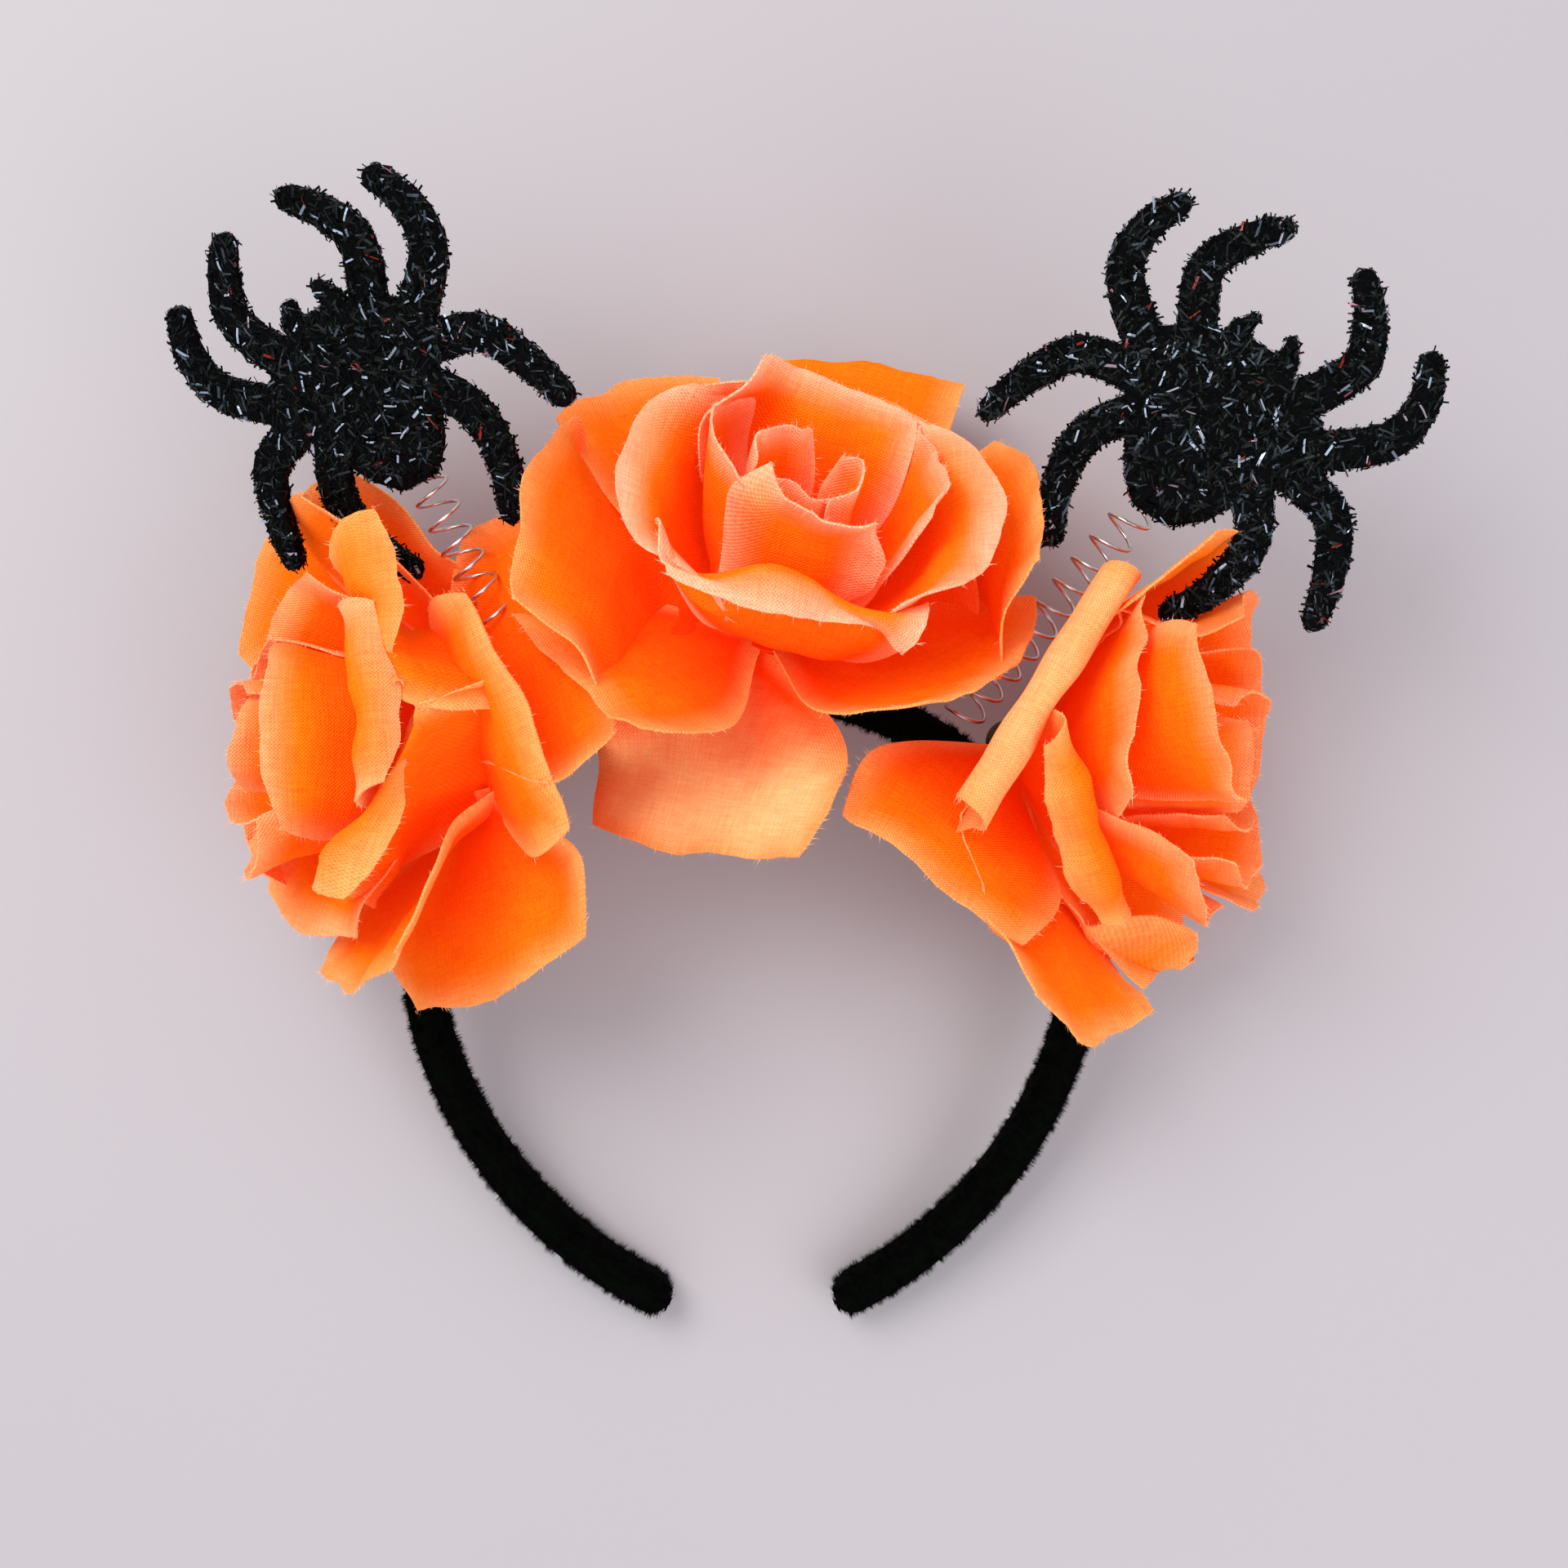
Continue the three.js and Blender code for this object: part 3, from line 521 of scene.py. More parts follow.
def petalSurface(row, height):
    row = {**plainPetal, **row}
    length, halfWidth = row["length"] * petal["length"], row["width"] * petal["width"] / 2
    turn, lean = math.radians(row["turn"]), math.radians(row["lean"])
    outward = np.array([math.cos(turn), math.sin(turn), 0])
    sideways = np.array([-math.sin(turn) * math.cos(lean), math.cos(turn) * math.cos(lean), math.sin(lean)])
    up = np.cross(outward, sideways)

    def slopeAt(share):
        bend = (row["rise"] - row["spread"]) * smooth(share / row["bend"])
        return np.radians(row["spread"] + bend + row["lip"] * smoothFrom(row["lipStart"], share))

    fine = petal["slopeSteps"]
    slopes = slopeAt((np.arange(fine) + 0.5) / fine)
    root = petal["hubRadius"] - petal["rootInset"]
    reachX = np.concatenate([[root], root + np.cumsum(np.cos(slopes)) * length / fine])
    reachZ = np.concatenate([[0], np.cumsum(np.sin(slopes)) * length / fine])
    knots = np.linspace(0, 1, fine + 1)

    t, s = np.meshgrid(np.linspace(0, 1, petal["along"]), np.linspace(-1, 1, petal["across"]), indexing="ij")
    phase = chance.uniform(0, 6.3, 8)  # about a whole turn
    edge = 1 - row["corner"] * np.abs(s) ** 3 + row["point"] * (1 - np.abs(s)) ** 2
    share = np.minimum(1.15, t * (edge + row["ragged"] * wavy(s, petal["edgeWaves"], phase)))
    inside = np.minimum(share, 1)
    slope = slopeAt(inside)
    beyond = np.maximum(0, share - 1) * length
    centreX = np.interp(inside, knots, reachX) + beyond * np.cos(slope)
    centreZ = np.interp(inside, knots, reachZ) + beyond * np.sin(slope)
    half = halfWidth * widthShare(inside) * (1 + row["ragged"] * wavy(share, petal["sideWaves"], phase))
    half = half * (1 + np.where(s < 0, row["wideLow"], row["wideHigh"]) * (1 - smooth(share / 0.9)))
    turned = np.radians(row["twist"]) * smooth(share / 0.7)
    natural = row["wrap"] * half * np.sin(np.maximum(slope, 0)) / np.maximum(centreX, 5)
    steps = petal["curlSteps"]
    flat, deep = np.zeros_like(s), np.zeros_like(s)
    for k in range(steps):
        q = np.abs(s) * (k + 0.5) / steps
        curl = (natural + math.radians(row["cup"])) * q
        flat += np.abs(s) / steps * np.cos(curl)
        deep += np.abs(s) / steps * np.sin(curl)

    free = smoothFrom(petal["looseFrom"], share)
    ruffle = row["ruffle"] * free * (np.sin(row["waves"] * np.pi * s + phase[0]) * (0.35 + 0.65 * np.abs(s))
                                     + 0.4 * np.sin(5.3 * s + 7 * share + phase[1]))
    crease = 0.22 * np.sin(11 * s + 3 * share + phase[2]) * smooth(share / 0.3) * (1 - 0.6 * share)
    for number in range(petal["creases"]):  # soft creases in the cloth, each its own way
        way, wave = chance.uniform(0, math.pi), chance.uniform(*petal["creaseApart"])
        run = s * half * math.cos(way) + share * length * math.sin(way)
        ridge = np.abs(np.sin(run * math.pi / wave + phase[number]))
        crease = crease + row["crinkle"] * (0.6 - ridge ** 0.7) * free
    lift = row["cornerLift"] * np.where(s < 0, math.sin(phase[0] * 5), math.sin(phase[1] * 5))
    corner = lift * smoothFrom(petal["cornerAcross"], np.abs(s)) * smoothFrom(petal["cornerAlong"], share)
    deep = deep + (ruffle + crease + corner) / np.maximum(half, 1)

    normal = -np.sin(slope)[..., None] * outward + np.cos(slope)[..., None] * up
    sideAxis = np.cos(turned)[..., None] * sideways + np.sin(turned)[..., None] * normal
    faceAxis = np.cos(turned)[..., None] * normal - np.sin(turned)[..., None] * sideways
    points = (np.array([0, 0, height]) + centreX[..., None] * outward + centreZ[..., None] * up
              + (np.sign(s) * flat * half)[..., None] * sideAxis + (deep * half)[..., None] * faceAxis)
    flatPlace = np.stack([s * half, share * length], axis=-1)
    rimGap = np.minimum((1 - np.abs(s)) * half, (1 - t) * length) / petal["rimWidth"]
    return points, flatPlace, inside, np.clip(rimGap, 0, 1)


bowlGrid = {
    "turns": 72, "levels": 110, "lowest": -30,  # cells round the pin, and a millimetre high each
    "gap": 0.7, "furthest": 7, "besideLess": 0.25, "evening": 12,
}


class Bowl:  # how far out a rose's petals reach so far, at each height and turn round its pin
    def __init__(self):
        self.reach = np.zeros((bowlGrid["turns"], bowlGrid["levels"]))

    def cell(self, points):
        turn = (np.degrees(np.arctan2(points[..., 1], points[..., 0])) % 360) / (360 / bowlGrid["turns"])
        return turn, np.clip(points[..., 2] - bowlGrid["lowest"], 0, bowlGrid["levels"] - 1.1)

    def add(self, points):
        turn, level = self.cell(points)
        radius = np.hypot(points[..., 0], points[..., 1])
        for di in (-1, 0, 1):
            for dj in (-1, 0, 1):
                i = (np.round(turn).astype(int) + di) % bowlGrid["turns"]
                j = np.clip(np.round(level).astype(int) + dj, 0, bowlGrid["levels"] - 1)
                np.maximum.at(self.reach, (i, j), radius - (bowlGrid["besideLess"] if di or dj else 0))

    def clear(self, points, share):
        turn, level = self.cell(points)
        i, j = np.floor(turn).astype(int), np.floor(level).astype(int)
        a, b = turn - i, level - j
        table, here, beside = self.reach, i % bowlGrid["turns"], (i + 1) % bowlGrid["turns"]
        found = ((1 - a) * (1 - b) * table[here, j] + a * (1 - b) * table[beside, j]
                 + (1 - a) * b * table[here, j + 1] + a * b * table[beside, j + 1])
        radius = np.hypot(points[..., 0], points[..., 1])
        cleared = np.maximum(radius, np.minimum(found + bowlGrid["gap"], radius + bowlGrid["furthest"]))
        wanted = cleared * smooth(share / 0.2) + radius * (1 - smooth(share / 0.2))
        scale = wanted / np.maximum(radius, 0.1)
        for _ in range(bowlGrid["evening"]):
            soften(scale)
        out = points.copy()
        out[..., :2] *= scale[..., None]
        return out


def petalFaces(points):  # corners and triangles of one petal, for looking up the nearest place on it
    along, across = points.shape[:2]
    i, j = np.meshgrid(np.arange(along - 1), np.arange(across - 1), indexing="ij")
    first = (i * across + j).ravel()
    opposite = first + across + 1
    return np.concatenate([np.stack([first, first + 1, opposite], 1),
                           np.stack([first, opposite, opposite - 1], 1)])


def backWay(points):  # away from the rose's heart, at each point of a petal
    forward, side = np.gradient(points, axis=0), np.gradient(points, axis=1)
    return unit(np.cross(side, forward))


layered = {
    "gap": 0.55, "depth": 6.0, "rounds": 3, "step": 1.1, "evening": 5,
    "rootEnd": 0.12, "rootFade": 0.2, "slant": 0.35, "slack": 0.15,
}


def keepBehind(points, share, front):  # petals lie on each other and don't cross
    weight = smooth((share - layered["rootEnd"]) / layered["rootFade"])[..., None]
    for _ in range(layered["rounds"]):
        push = np.zeros_like(points)
        for tree, ways, low, high in front:
            near = np.all((points > low - 1) & (points < high + 1), axis=-1) & (share > layered["rootEnd"])
            for i, j in zip(*np.nonzero(near)):
                spot, _, face, distance = tree.find_nearest(points[i, j], layered["depth"])
                if spot is None:
                    continue
                way = ways[face]
                offset = points[i, j] - np.array(spot)
                level = offset @ way
                aside = np.linalg.norm(offset - level * way)
                if level < layered["gap"] and aside < layered["slant"] * distance + layered["slack"]:
                    step = (layered["gap"] - level) * way
                    if step @ step > push[i, j] @ push[i, j]:
                        push[i, j] = step
        if not push.any():
            break
        for _ in range(layered["evening"]):
            soften(push)
            push[-1], push[:, 0], push[:, -1] = push[-2], push[:, 1], push[:, -2]
        points = points + push * layered["step"] * weight
    return points


overBand = {"gap": 0.9, "beside": 0.3, "reach": 4.0, "depth": 7.0, "routeSteps": 240, "evening": 4}
archRoute = np.array([archPoint(d) for d in np.linspace(-halfLength, halfLength, overBand["routeSteps"])])


def liftOverBand(points, matrix):  # the back petals lie over the strip's upper edge
    turn = np.array(matrix.to_3x3())
    inArch = points @ turn.T + np.array(matrix.translation)
    apart = inArch[..., None, :2] - archRoute[:, :2]
    nearest = np.argmin((apart ** 2).sum(-1), axis=-1)
    heading = archRoute[nearest, 2]
    offset = np.take_along_axis(apart, nearest[..., None, None], axis=2)[..., 0, :]
    lateral = np.abs(offset[..., 0] * np.sin(heading) + offset[..., 1] * np.cos(heading))
    beside = 1 - smooth((lateral - arch["stripThickness"] / 2 - overBand["beside"]) / overBand["reach"])
    low = arch["stripWidth"] / 2 + overBand["gap"] - inArch[..., 2]
    lift = np.where((low > 0) & (low < overBand["depth"]), low, 0) * beside
    for _ in range(overBand["evening"]):
        lift[1:-1] = np.maximum(lift[1:-1], 0.25 * (2 * lift[1:-1] + lift[:-2] + lift[2:]))
        lift[:, 1:-1] = np.maximum(lift[:, 1:-1], 0.25 * (2 * lift[:, 1:-1] + lift[:, :-2] + lift[:, 2:]))
    return points + lift[..., None] * turn[2]


def petalMesh(name, points, flatPlace, reach, rimGap, thin):
    along, across = points.shape[:2]
    bpy.ops.mesh.primitive_grid_add(x_subdivisions=across - 1, y_subdivisions=along - 1, size=1)
    thing = newest(name)
    data = thing.data
    order = np.array([v.co[:2] for v in data.vertices])
    column = np.round((order[:, 0] + 0.5) * (across - 1)).astype(int)
    line = np.round((order[:, 1] + 0.5) * (along - 1)).astype(int)
    data.vertices.foreach_set("co", points[line, column].astype(np.float32).ravel())
    layer = data.uv_layers[0]
    layer.name = "cloth"
    corners = np.zeros(len(data.loops), int)
    data.loops.foreach_get("vertex_index", corners)
    layer.data.foreach_set("uv", flatPlace[line, column][corners].astype(np.float32).ravel())
    for key, values in (("reach", reach), ("rimGap", rimGap), ("thin", np.full(reach.shape, float(thin)))):
        pointValues(thing, key, values[line, column])
    data.update()
    return thing


def hubMesh(height):
    bpy.ops.mesh.primitive_circle_add(vertices=petal["hubSides"], radius=petal["hubRadius"],
                                      fill_type="TRIFAN", location=(0, 0, height), calc_uvs=True)
    thing = newest("hub")
    bpy.ops.object.transform_apply(location=True)
    thing.data.uv_layers[0].name = "cloth"
    for key, value in (("reach", 0.0), ("rimGap", 1.0), ("thin", 0.0)):
        pointValues(thing, key, [value] * len(thing.data.vertices))
    return thing


def flatArea(flatPlace):  # of one petal as it was cut, in square millimetres
    first = flatPlace[1:, 1:] - flatPlace[:-1, :-1]
    second = flatPlace[1:, :-1] - flatPlace[:-1, 1:]
    return np.abs(first[..., 0] * second[..., 1] - first[..., 1] * second[..., 0]).sum() / 2


fray = {"perPetal": 220, "length": 1.2, "width": 0.11, "root": 0.4, "astray": 0.45, "spread": 0.8}


def frayPetal(points, threadPoints, threadFaces):  # loose thread ends along the rim
    outerHalf = range(points.shape[0] // 2, points.shape[0])
    rim = [(points[-1, j], points[-2, j]) for j in range(points.shape[1])]
    rim += [(points[i, 0], points[i, 1]) for i in outerHalf]
    rim += [(points[i, -1], points[i, -2]) for i in outerHalf]
    for _ in range(fray["perPetal"]):
        end, back = rim[chance.randint(len(rim))]
        other = rim[chance.randint(len(rim))][0]
        way = unit(end - back)
        astray = chance.normal(0, fray["astray"], 3)
        start = end - way * fray["root"] + unit(other - end) * chance.uniform(-fray["spread"], fray["spread"])
        tip = start + (way + astray) * fray["length"] * chance.uniform(0.3, 1.0)
        addFibre(threadPoints, threadFaces, start, tip, unit(np.cross(way, astray)) * fray["width"] / 2)


# pins and roses

pin = {
    "footRadius": 4.2, "footSteps": 8, "footGap": 0.3, "pinRadius": 1.4, "tip": 0.4,
    "spacerRadius": 3.4, "spacerLength": 5, "chamfer": 0.2, "turnSteps": 28,
}


def plasticFinish():
    finish = Finish("stemPlastic", **{"Roughness": 0.45})
    grain = finish.noise(400.0, 4.0)
    finish.feed("Base Color", finish.mix(grain, rgba((0.02, 0.05, 0.012)), rgba((0.05, 0.10, 0.03))))
    finish.feed("Roughness", 0.35 + grain * 0.25)
    finish.bump(grain, 0.0001, 0.2)
    return finish.material


def threadFinish():
    finish = Finish("looseThread", **{"Roughness": 0.8, "Sheen Weight": 0.2})
    # the loose threads are mixed from the petals' painted rim highlight colour and a paler one
    finish.feed("Base Color", finish.mix(finish.noise(500.0), rgba(cloth["rim"]), rgba((1.0, 0.62, 0.42))))
    return finish.material


def makePin(rose, matrix, finish):
    spacerFoot = layerHeights["second"] + 0.8
    spacerEnd = spacerFoot + pin["spacerLength"]
    pinEnd = layerHeights["bud"] + 1
    profile = [(0, -pin["footRadius"])]
    for i in range(1, pin["footSteps"] + 1):
        angle = math.radians(-90 + 90 * i / pin["footSteps"])
        profile.append((pin["footRadius"] * math.cos(angle), pin["footRadius"] * math.sin(angle)))
    profile += [(pin["pinRadius"], 0.05), (pin["pinRadius"], spacerFoot),
                (pin["spacerRadius"], spacerFoot + pin["chamfer"]),
                (pin["spacerRadius"], spacerEnd - pin["chamfer"]), (pin["pinRadius"], spacerEnd),
                (pin["pinRadius"], pinEnd), (0, pinEnd + pin["tip"])]
    thing = meshFrom(rose + "Pin", [(x, 0, z) for x, z in profile],
                     edges=[(i, i + 1) for i in range(len(profile) - 1)])
    applyModifier(thing, "SCREW", angle=2 * math.pi, steps=pin["turnSteps"], render_steps=pin["turnSteps"],
                  use_merge_vertices=True, merge_threshold=0.001, use_normal_calculate=True)
    editAll(thing)
    bpy.ops.mesh.remove_doubles(threshold=0.001)
    leaveFacingOut()
    toRow(thing, matrix)
    smoothShade(thing, 35)
    return place(thing, finish, "stem_plastic", rose + "_calyx")


def makeRose(rose, plan, stem, thread):
    matrix = pinMatrix(plan["seat"], pin["footRadius"] + pin["footGap"], plan["heading"], plan["lift"])
    pinPiece = makePin(rose, matrix, stem)
    bowl, front = Bowl(), []
    threadPoints, threadFaces = [], []
    for layer in ("bud", "inner", "cup", "second", "outer"):
        height = layerHeights[layer]
        petals = [hubMesh(height)]
        area = math.pi * petal["hubRadius"] ** 2
        for row in plan[layer]:
            points, flatPlace, reach, rimGap = petalSurface(row, height)
            points = keepBehind(bowl.clear(points, reach), reach, front)
            points = liftOverBand(points, matrix)
            area += flatArea(flatPlace)
            bowl.add(points)
            faces = petalFaces(points)
            ways = backWay(points).reshape(-1, 3)[faces[:, 0]]
            front.append((BVHTree.FromPolygons(points.reshape(-1, 3).tolist(), faces.tolist()), ways,
                          points.min(axis=(0, 1)), points.max(axis=(0, 1))))
            petals.append(petalMesh("petal", points, flatPlace, reach, rimGap, row.get("thin", 0)))
            frayPetal(points, threadPoints, threadFaces)
        thing = joinAll(rose + layer.capitalize() + "Cloth", petals)
        applyModifier(thing, "SOLIDIFY", thickness=cloth["thickness"], offset=0, use_quality_normals=True)
        toRow(thing, matrix)
        smoothShade(thing, 60)
        node = rose + ("_bud" if layer == "bud" else "_petals_" + layer)
        place(thing, petalFinish(rose, layer), "silk", node)
        longest = max({**plainPetal, **row}["length"] for row in plan[layer]) * petal["length"]
        side = 2 * (petal["hubRadius"] + longest) * mm
        square = side * side  # the layer is stamped from it
        max(0.31 * square, min(area * mm * mm, square))
    threads = meshFrom(rose + "Fray", threadPoints, threadFaces)
    toRow(threads, matrix)
    place(threads, thread, "silk")
    print("rose", rose, "made")


stemPlastic, looseThread = plasticFinish(), threadFinish()
for roseName, rosePlan in roses.items():
    makeRose(roseName, rosePlan, stemPlastic, looseThread)

# the flocked band

flock = {
    "colour": (0.0009, 0.0013, 0.0009), "sectionSides": 28, "squareness": 3.2, "stepAngle": 2.5,
    "tufts": 10000, "perTuft": 10, "tuftSize": 0.3, "tuftLean": 0.4,
    "fibreLength": 1.75, "fibreWidth": 0.12, "fibreRoot": 0.3, "fibreLean": 0.2,
    "tip": 3.6, "tipSteps": [(0.5, 1.5), (0.8, 1.1), (1.1, 0.7), (0.9, 0.3)],  # inset and rise of each round
}


def flockFinish(name):
    finish = Finish(name, **{"Roughness": 1.0, "Specular IOR Level": 0.02, "Sheen Weight": 0.03,
                             "Sheen Roughness": 0.5, "Sheen Tint": rgba((0.08, 0.08, 0.08))})
    pile, patch = finish.noise(1400.0, 3.0), finish.noise(120.0, 3.0)
    finish.feed("Base Color", finish.mix(pile * 0.7 + patch * 0.3, rgba(flock["colour"], 0.35),
                                         rgba(flock["colour"], 2.2)))
    finish.bump(pile, 0.00035, 0.8)
    return finish.material


def sectionPoint(angle, grow=0.0):  # round the strip: out from the arch, and up
    halfThick, halfWide = arch["stripThickness"] / 2 + grow, arch["stripWidth"] / 2 + grow
    c, s = math.cos(angle), math.sin(angle)
    power = 2 / flock["squareness"]
    return halfThick * math.copysign(abs(c) ** power, c), halfWide * math.copysign(abs(s) ** power, s)


def makeBand():
    sides = flock["sectionSides"]
    bpy.ops.mesh.primitive_circle_add(vertices=sides, radius=1, fill_type="NGON")
    thing = newest("bandFlock")
    x, y, heading = archPoint(flock["tip"] - halfLength)
    for i, vertex in enumerate(thing.data.vertices):
        out, up = sectionPoint(2 * math.pi * i / sides)
        vertex.co = (x + out * math.sin(heading), y + out * math.cos(heading), up)
    centres = []
    distance = 0.0
    for radius, sweep in arcs:
        px, py, heading = archPoint(distance)
        centres.append((px - radius * math.sin(heading), py - radius * math.cos(heading)))
        distance += radius * math.radians(sweep)
    legSweep = arcs[2][1] - math.degrees(flock["tip"] / arcs[2][0])
    route = [(-centres[2][0], centres[2][1], legSweep), (-centres[1][0], centres[1][1], arcs[1][1]),
             (0, 0, 2 * arcs[0][1]), (*centres[1], arcs[1][1]), (*centres[2], legSweep)]
    editAll(thing)
    for cx, cy, sweep in route:
        bpy.ops.mesh.spin(steps=max(8, round(sweep / flock["stepAngle"])), angle=math.radians(sweep),
                          center=(cx, cy, 0), axis=(0, 0, 1))
    bpy.ops.mesh.select_all(action="SELECT")
    bpy.ops.mesh.remove_doubles(threshold=0.01)
    bpy.ops.mesh.normals_make_consistent(inside=False)
    bpy.ops.mesh.select_all(action="DESELECT")
    bpy.ops.object.mode_set(mode="OBJECT")
    for face in thing.data.polygons:  # the two open ends are the only faces with more than four corners
        face.select = len(face.vertices) > 4
    bpy.ops.object.mode_set(mode="EDIT")
    bpy.ops.mesh.select_mode(type="FACE")
    for inset, rise in flock["tipSteps"]:
        bpy.ops.mesh.inset(thickness=inset, depth=rise, use_even_offset=False)
    bpy.ops.mesh.select_all(action="SELECT")
    leaveFacingOut()
    toRow(thing, Matrix.Identity(4))
    smoothShade(thing, 60)
    return place(thing, flockFinish("flockGround"), "flock", "band")


def scattered(first, second, spread):
    return first * chance.normal(0, spread) + second * chance.normal(0, spread)


def makeFuzz():
    points, faces = [], []
    for _ in range(flock["tufts"]):
        distance = chance.uniform(-halfLength, halfLength)
        x, y, heading = archPoint(distance)
        toEnd = (halfLength - abs(distance)) / flock["tip"]
        shrink = math.sqrt(max(0.02, 1 - (1 - toEnd) ** 2)) if toEnd < 1 else 1
        angle = chance.uniform(0, 2 * math.pi)
        (out, up), (out2, up2) = sectionPoint(angle), sectionPoint(angle, 1.0)
        outward = np.array([math.sin(heading), math.cos(heading), 0])
        alongWay = np.array([math.cos(heading), -math.sin(heading), 0])
        normal = unit((out2 - out) * outward + np.array([0, 0, up2 - up]))
        around = np.cross(normal, alongWay)
        middle = np.array([x, y, 0]) + (out * outward + np.array([0, 0, up])) * shrink
        lean = scattered(alongWay, around, flock["tuftLean"])
        tuftLength = flock["fibreLength"] * chance.uniform(0.45, 1.0)
        for _ in range(flock["perTuft"]):
            root = middle + scattered(alongWay, around, 1) * flock["tuftSize"]
            way = normal + lean + scattered(alongWay, around, flock["fibreLean"])
            tip = root + unit(way) * tuftLength * chance.uniform(0.6, 1.0)
            side = unit(np.cross(way, chance.normal(0, 1, 3))) * flock["fibreWidth"] / 2
            addFibre(points, faces, root - normal * flock["fibreRoot"], tip, side)
    thing = meshFrom("bandFuzz", points, faces)
    toRow(thing, Matrix.Identity(4))
    return place(thing, flockFinish("flockFibre"), "flock")


makeBand()
makeFuzz()
print("band made")

# springs and spiders

wobblers = {
    "left": {"seat": -33, "heading": -25, "lift": 2, "bearing": 31, "roll": 24, "stretch": 1},
    "right": {"seat": 34, "heading": 38, "lift": 7, "bearing": -31, "roll": 10, "stretch": 1.05},
}
spring = {
    "wire": 0.6, "coil": 7, "pitch": 4.8, "length": 59,
    "wireRadius": 0.37, "wireSides": 8, "stepsPerTurn": 26,
}
spider = {
    "length": 55, "thickness": 2.6, "bodySteps": 45, "voxel": 0.42, "clearance": 0.3,
    "legRoot": 7, "legTip": 4.2, "legSteps": 12, "tipSteps": 8,
    "flakes": 9000, "flakeLength": (1.0, 3.0), "flakeWidth": (0.2, 0.52), "flakeRise": (0.02, 0.14),
    "flakeTilt": 0.35, "flakeOff": 0.25, "flakeBow": 0.06, "edgeFlake": 0.4, "edgeLong": 0.04,
}
bodyHalf = [(0.06, -0.195), (0.14, -0.13), (0.2, -0.035), (0.215, 0.03), (0.29, 0.12), (0.37, 0.225),
            (0.29, 0.325), (0.13, 0.39), (0.1, 0.42), (0.055, 0.43)]
legRoutes = [  # root, knee, shin, tip
    ((0.16, 0.3), (0.28, 0.52), (0.23, 0.66), (0.15, 0.75)),
    ((0.28, 0.22), (0.48, 0.38), (0.51, 0.53), (0.46, 0.65)),
    ((0.24, 0.16), (0.47, 0.11), (0.57, -0.04), (0.62, -0.19)),
    ((0.16, 0.12), (0.31, -0.08), (0.3, -0.28), (0.23, -0.42)),
]
fang = [(0.02, 0.4), (0.055, 0.44), (0.05, 0.5), (0.075, 0.505), (0.125, 0.44), (0.13, 0.38)]


def steelFinish():
    finish = Finish("springSteel", **{"Metallic": 1.0, "Roughness": 0.28})
    drawn = finish.noise(700.0, 3.0)
    finish.feed("Base Color", finish.mix(drawn, rgba((0.42, 0.38, 0.36)), rgba((0.86, 0.81, 0.78))))
    finish.feed("Roughness", 0.18 + drawn * 0.25)
    return finish.material


def makeSpring(name, plan, matrix, finish):
    bpy.ops.mesh.primitive_circle_add(vertices=spring["wireSides"], radius=spring["wireRadius"],
                                      fill_type="NOTHING", location=(spring["coil"] / 2, 0, 0),
                                      rotation=(math.pi / 2, 0, 0))
    thing = newest(name + "SpringWire")
    bpy.ops.object.transform_apply(location=True, rotation=True)
    turns = round(spring["length"] / spring["pitch"])
    applyModifier(thing, "SCREW", angle=2 * math.pi, iterations=turns,
                  screw_offset=spring["length"] * plan["stretch"] / turns, steps=spring["stepsPerTurn"],
                  render_steps=spring["stepsPerTurn"], use_normal_calculate=True)
    editAll(thing)
    bpy.ops.mesh.fill_holes(sides=spring["wireSides"])
    leaveFacingOut()
    toRow(thing, matrix)
    smoothShade(thing, 60)
    return place(thing, finish, "steel", name + "_spring")


def splinePoint(points, share):  # a smooth line through the points
    spans = len(points) - 1
    i = min(int(share * spans), spans - 1)
    t = share * spans - i
    p0, p1, p2, p3 = (np.array(points[min(max(k, 0), spans)]) for k in (i - 1, i, i + 1, i + 2))
    return 0.5 * (2 * p1 + (p2 - p0) * t + (2 * p0 - 5 * p1 + 4 * p2 - p3) * t ** 2
                  + (3 * p1 - p0 - 3 * p2 + p3) * t ** 3)


def legOutline(route, side):
    steps, tipHalf = spider["legSteps"], spider["legTip"] / 2
    near, far, tip = [], [], []
    points = [(side * x * spider["length"], y * spider["length"]) for x, y in route]
    for i in range(steps + 1):
        share = i / steps
        here = splinePoint(points, share)
        way = unit(splinePoint(points, min(1, share + 0.02)) - splinePoint(points, max(0, share - 0.02)))
        width = spider["legRoot"] + (spider["legTip"] - spider["legRoot"]) * share ** 1.5
        normal = np.array([-way[1], way[0]])
        near.append(here + normal * width / 2)
        far.append(here - normal * width / 2)
    for i in range(1, spider["tipSteps"]):
        angle = math.radians(90 - 180 * i / spider["tipSteps"])
        tip.append(here + (way * math.cos(angle) + normal * math.sin(angle)) * tipHalf)
    return near + tip + far[::-1]


def plate(outline):  # a flat piece cut to an outline, with the foam's thickness
    bpy.ops.mesh.primitive_circle_add(vertices=len(outline), radius=1, fill_type="NGON")
    thing = newest("plate")
    for vertex, (x, y) in zip(thing.data.vertices, outline):
        vertex.co = (x, y, 0)
    editAll(thing)
    bpy.ops.mesh.extrude_region_move(TRANSFORM_OT_translate={"value": (0, 0, spider["thickness"])})
    bpy.ops.mesh.select_all(action="SELECT")
    leaveFacingOut()
    return thing


def foamFinish():
    finish = Finish("spiderFoam", **{"Roughness": 0.8, "Specular IOR Level": 0.02})
    grain = finish.noise(900.0, 4.0)
    finish.feed("Base Color", finish.mix(grain, rgba((0.0008, 0.0008, 0.001)), rgba((0.004, 0.004, 0.005))))
    finish.bump(grain, 0.0004, 0.7)
    return finish.material


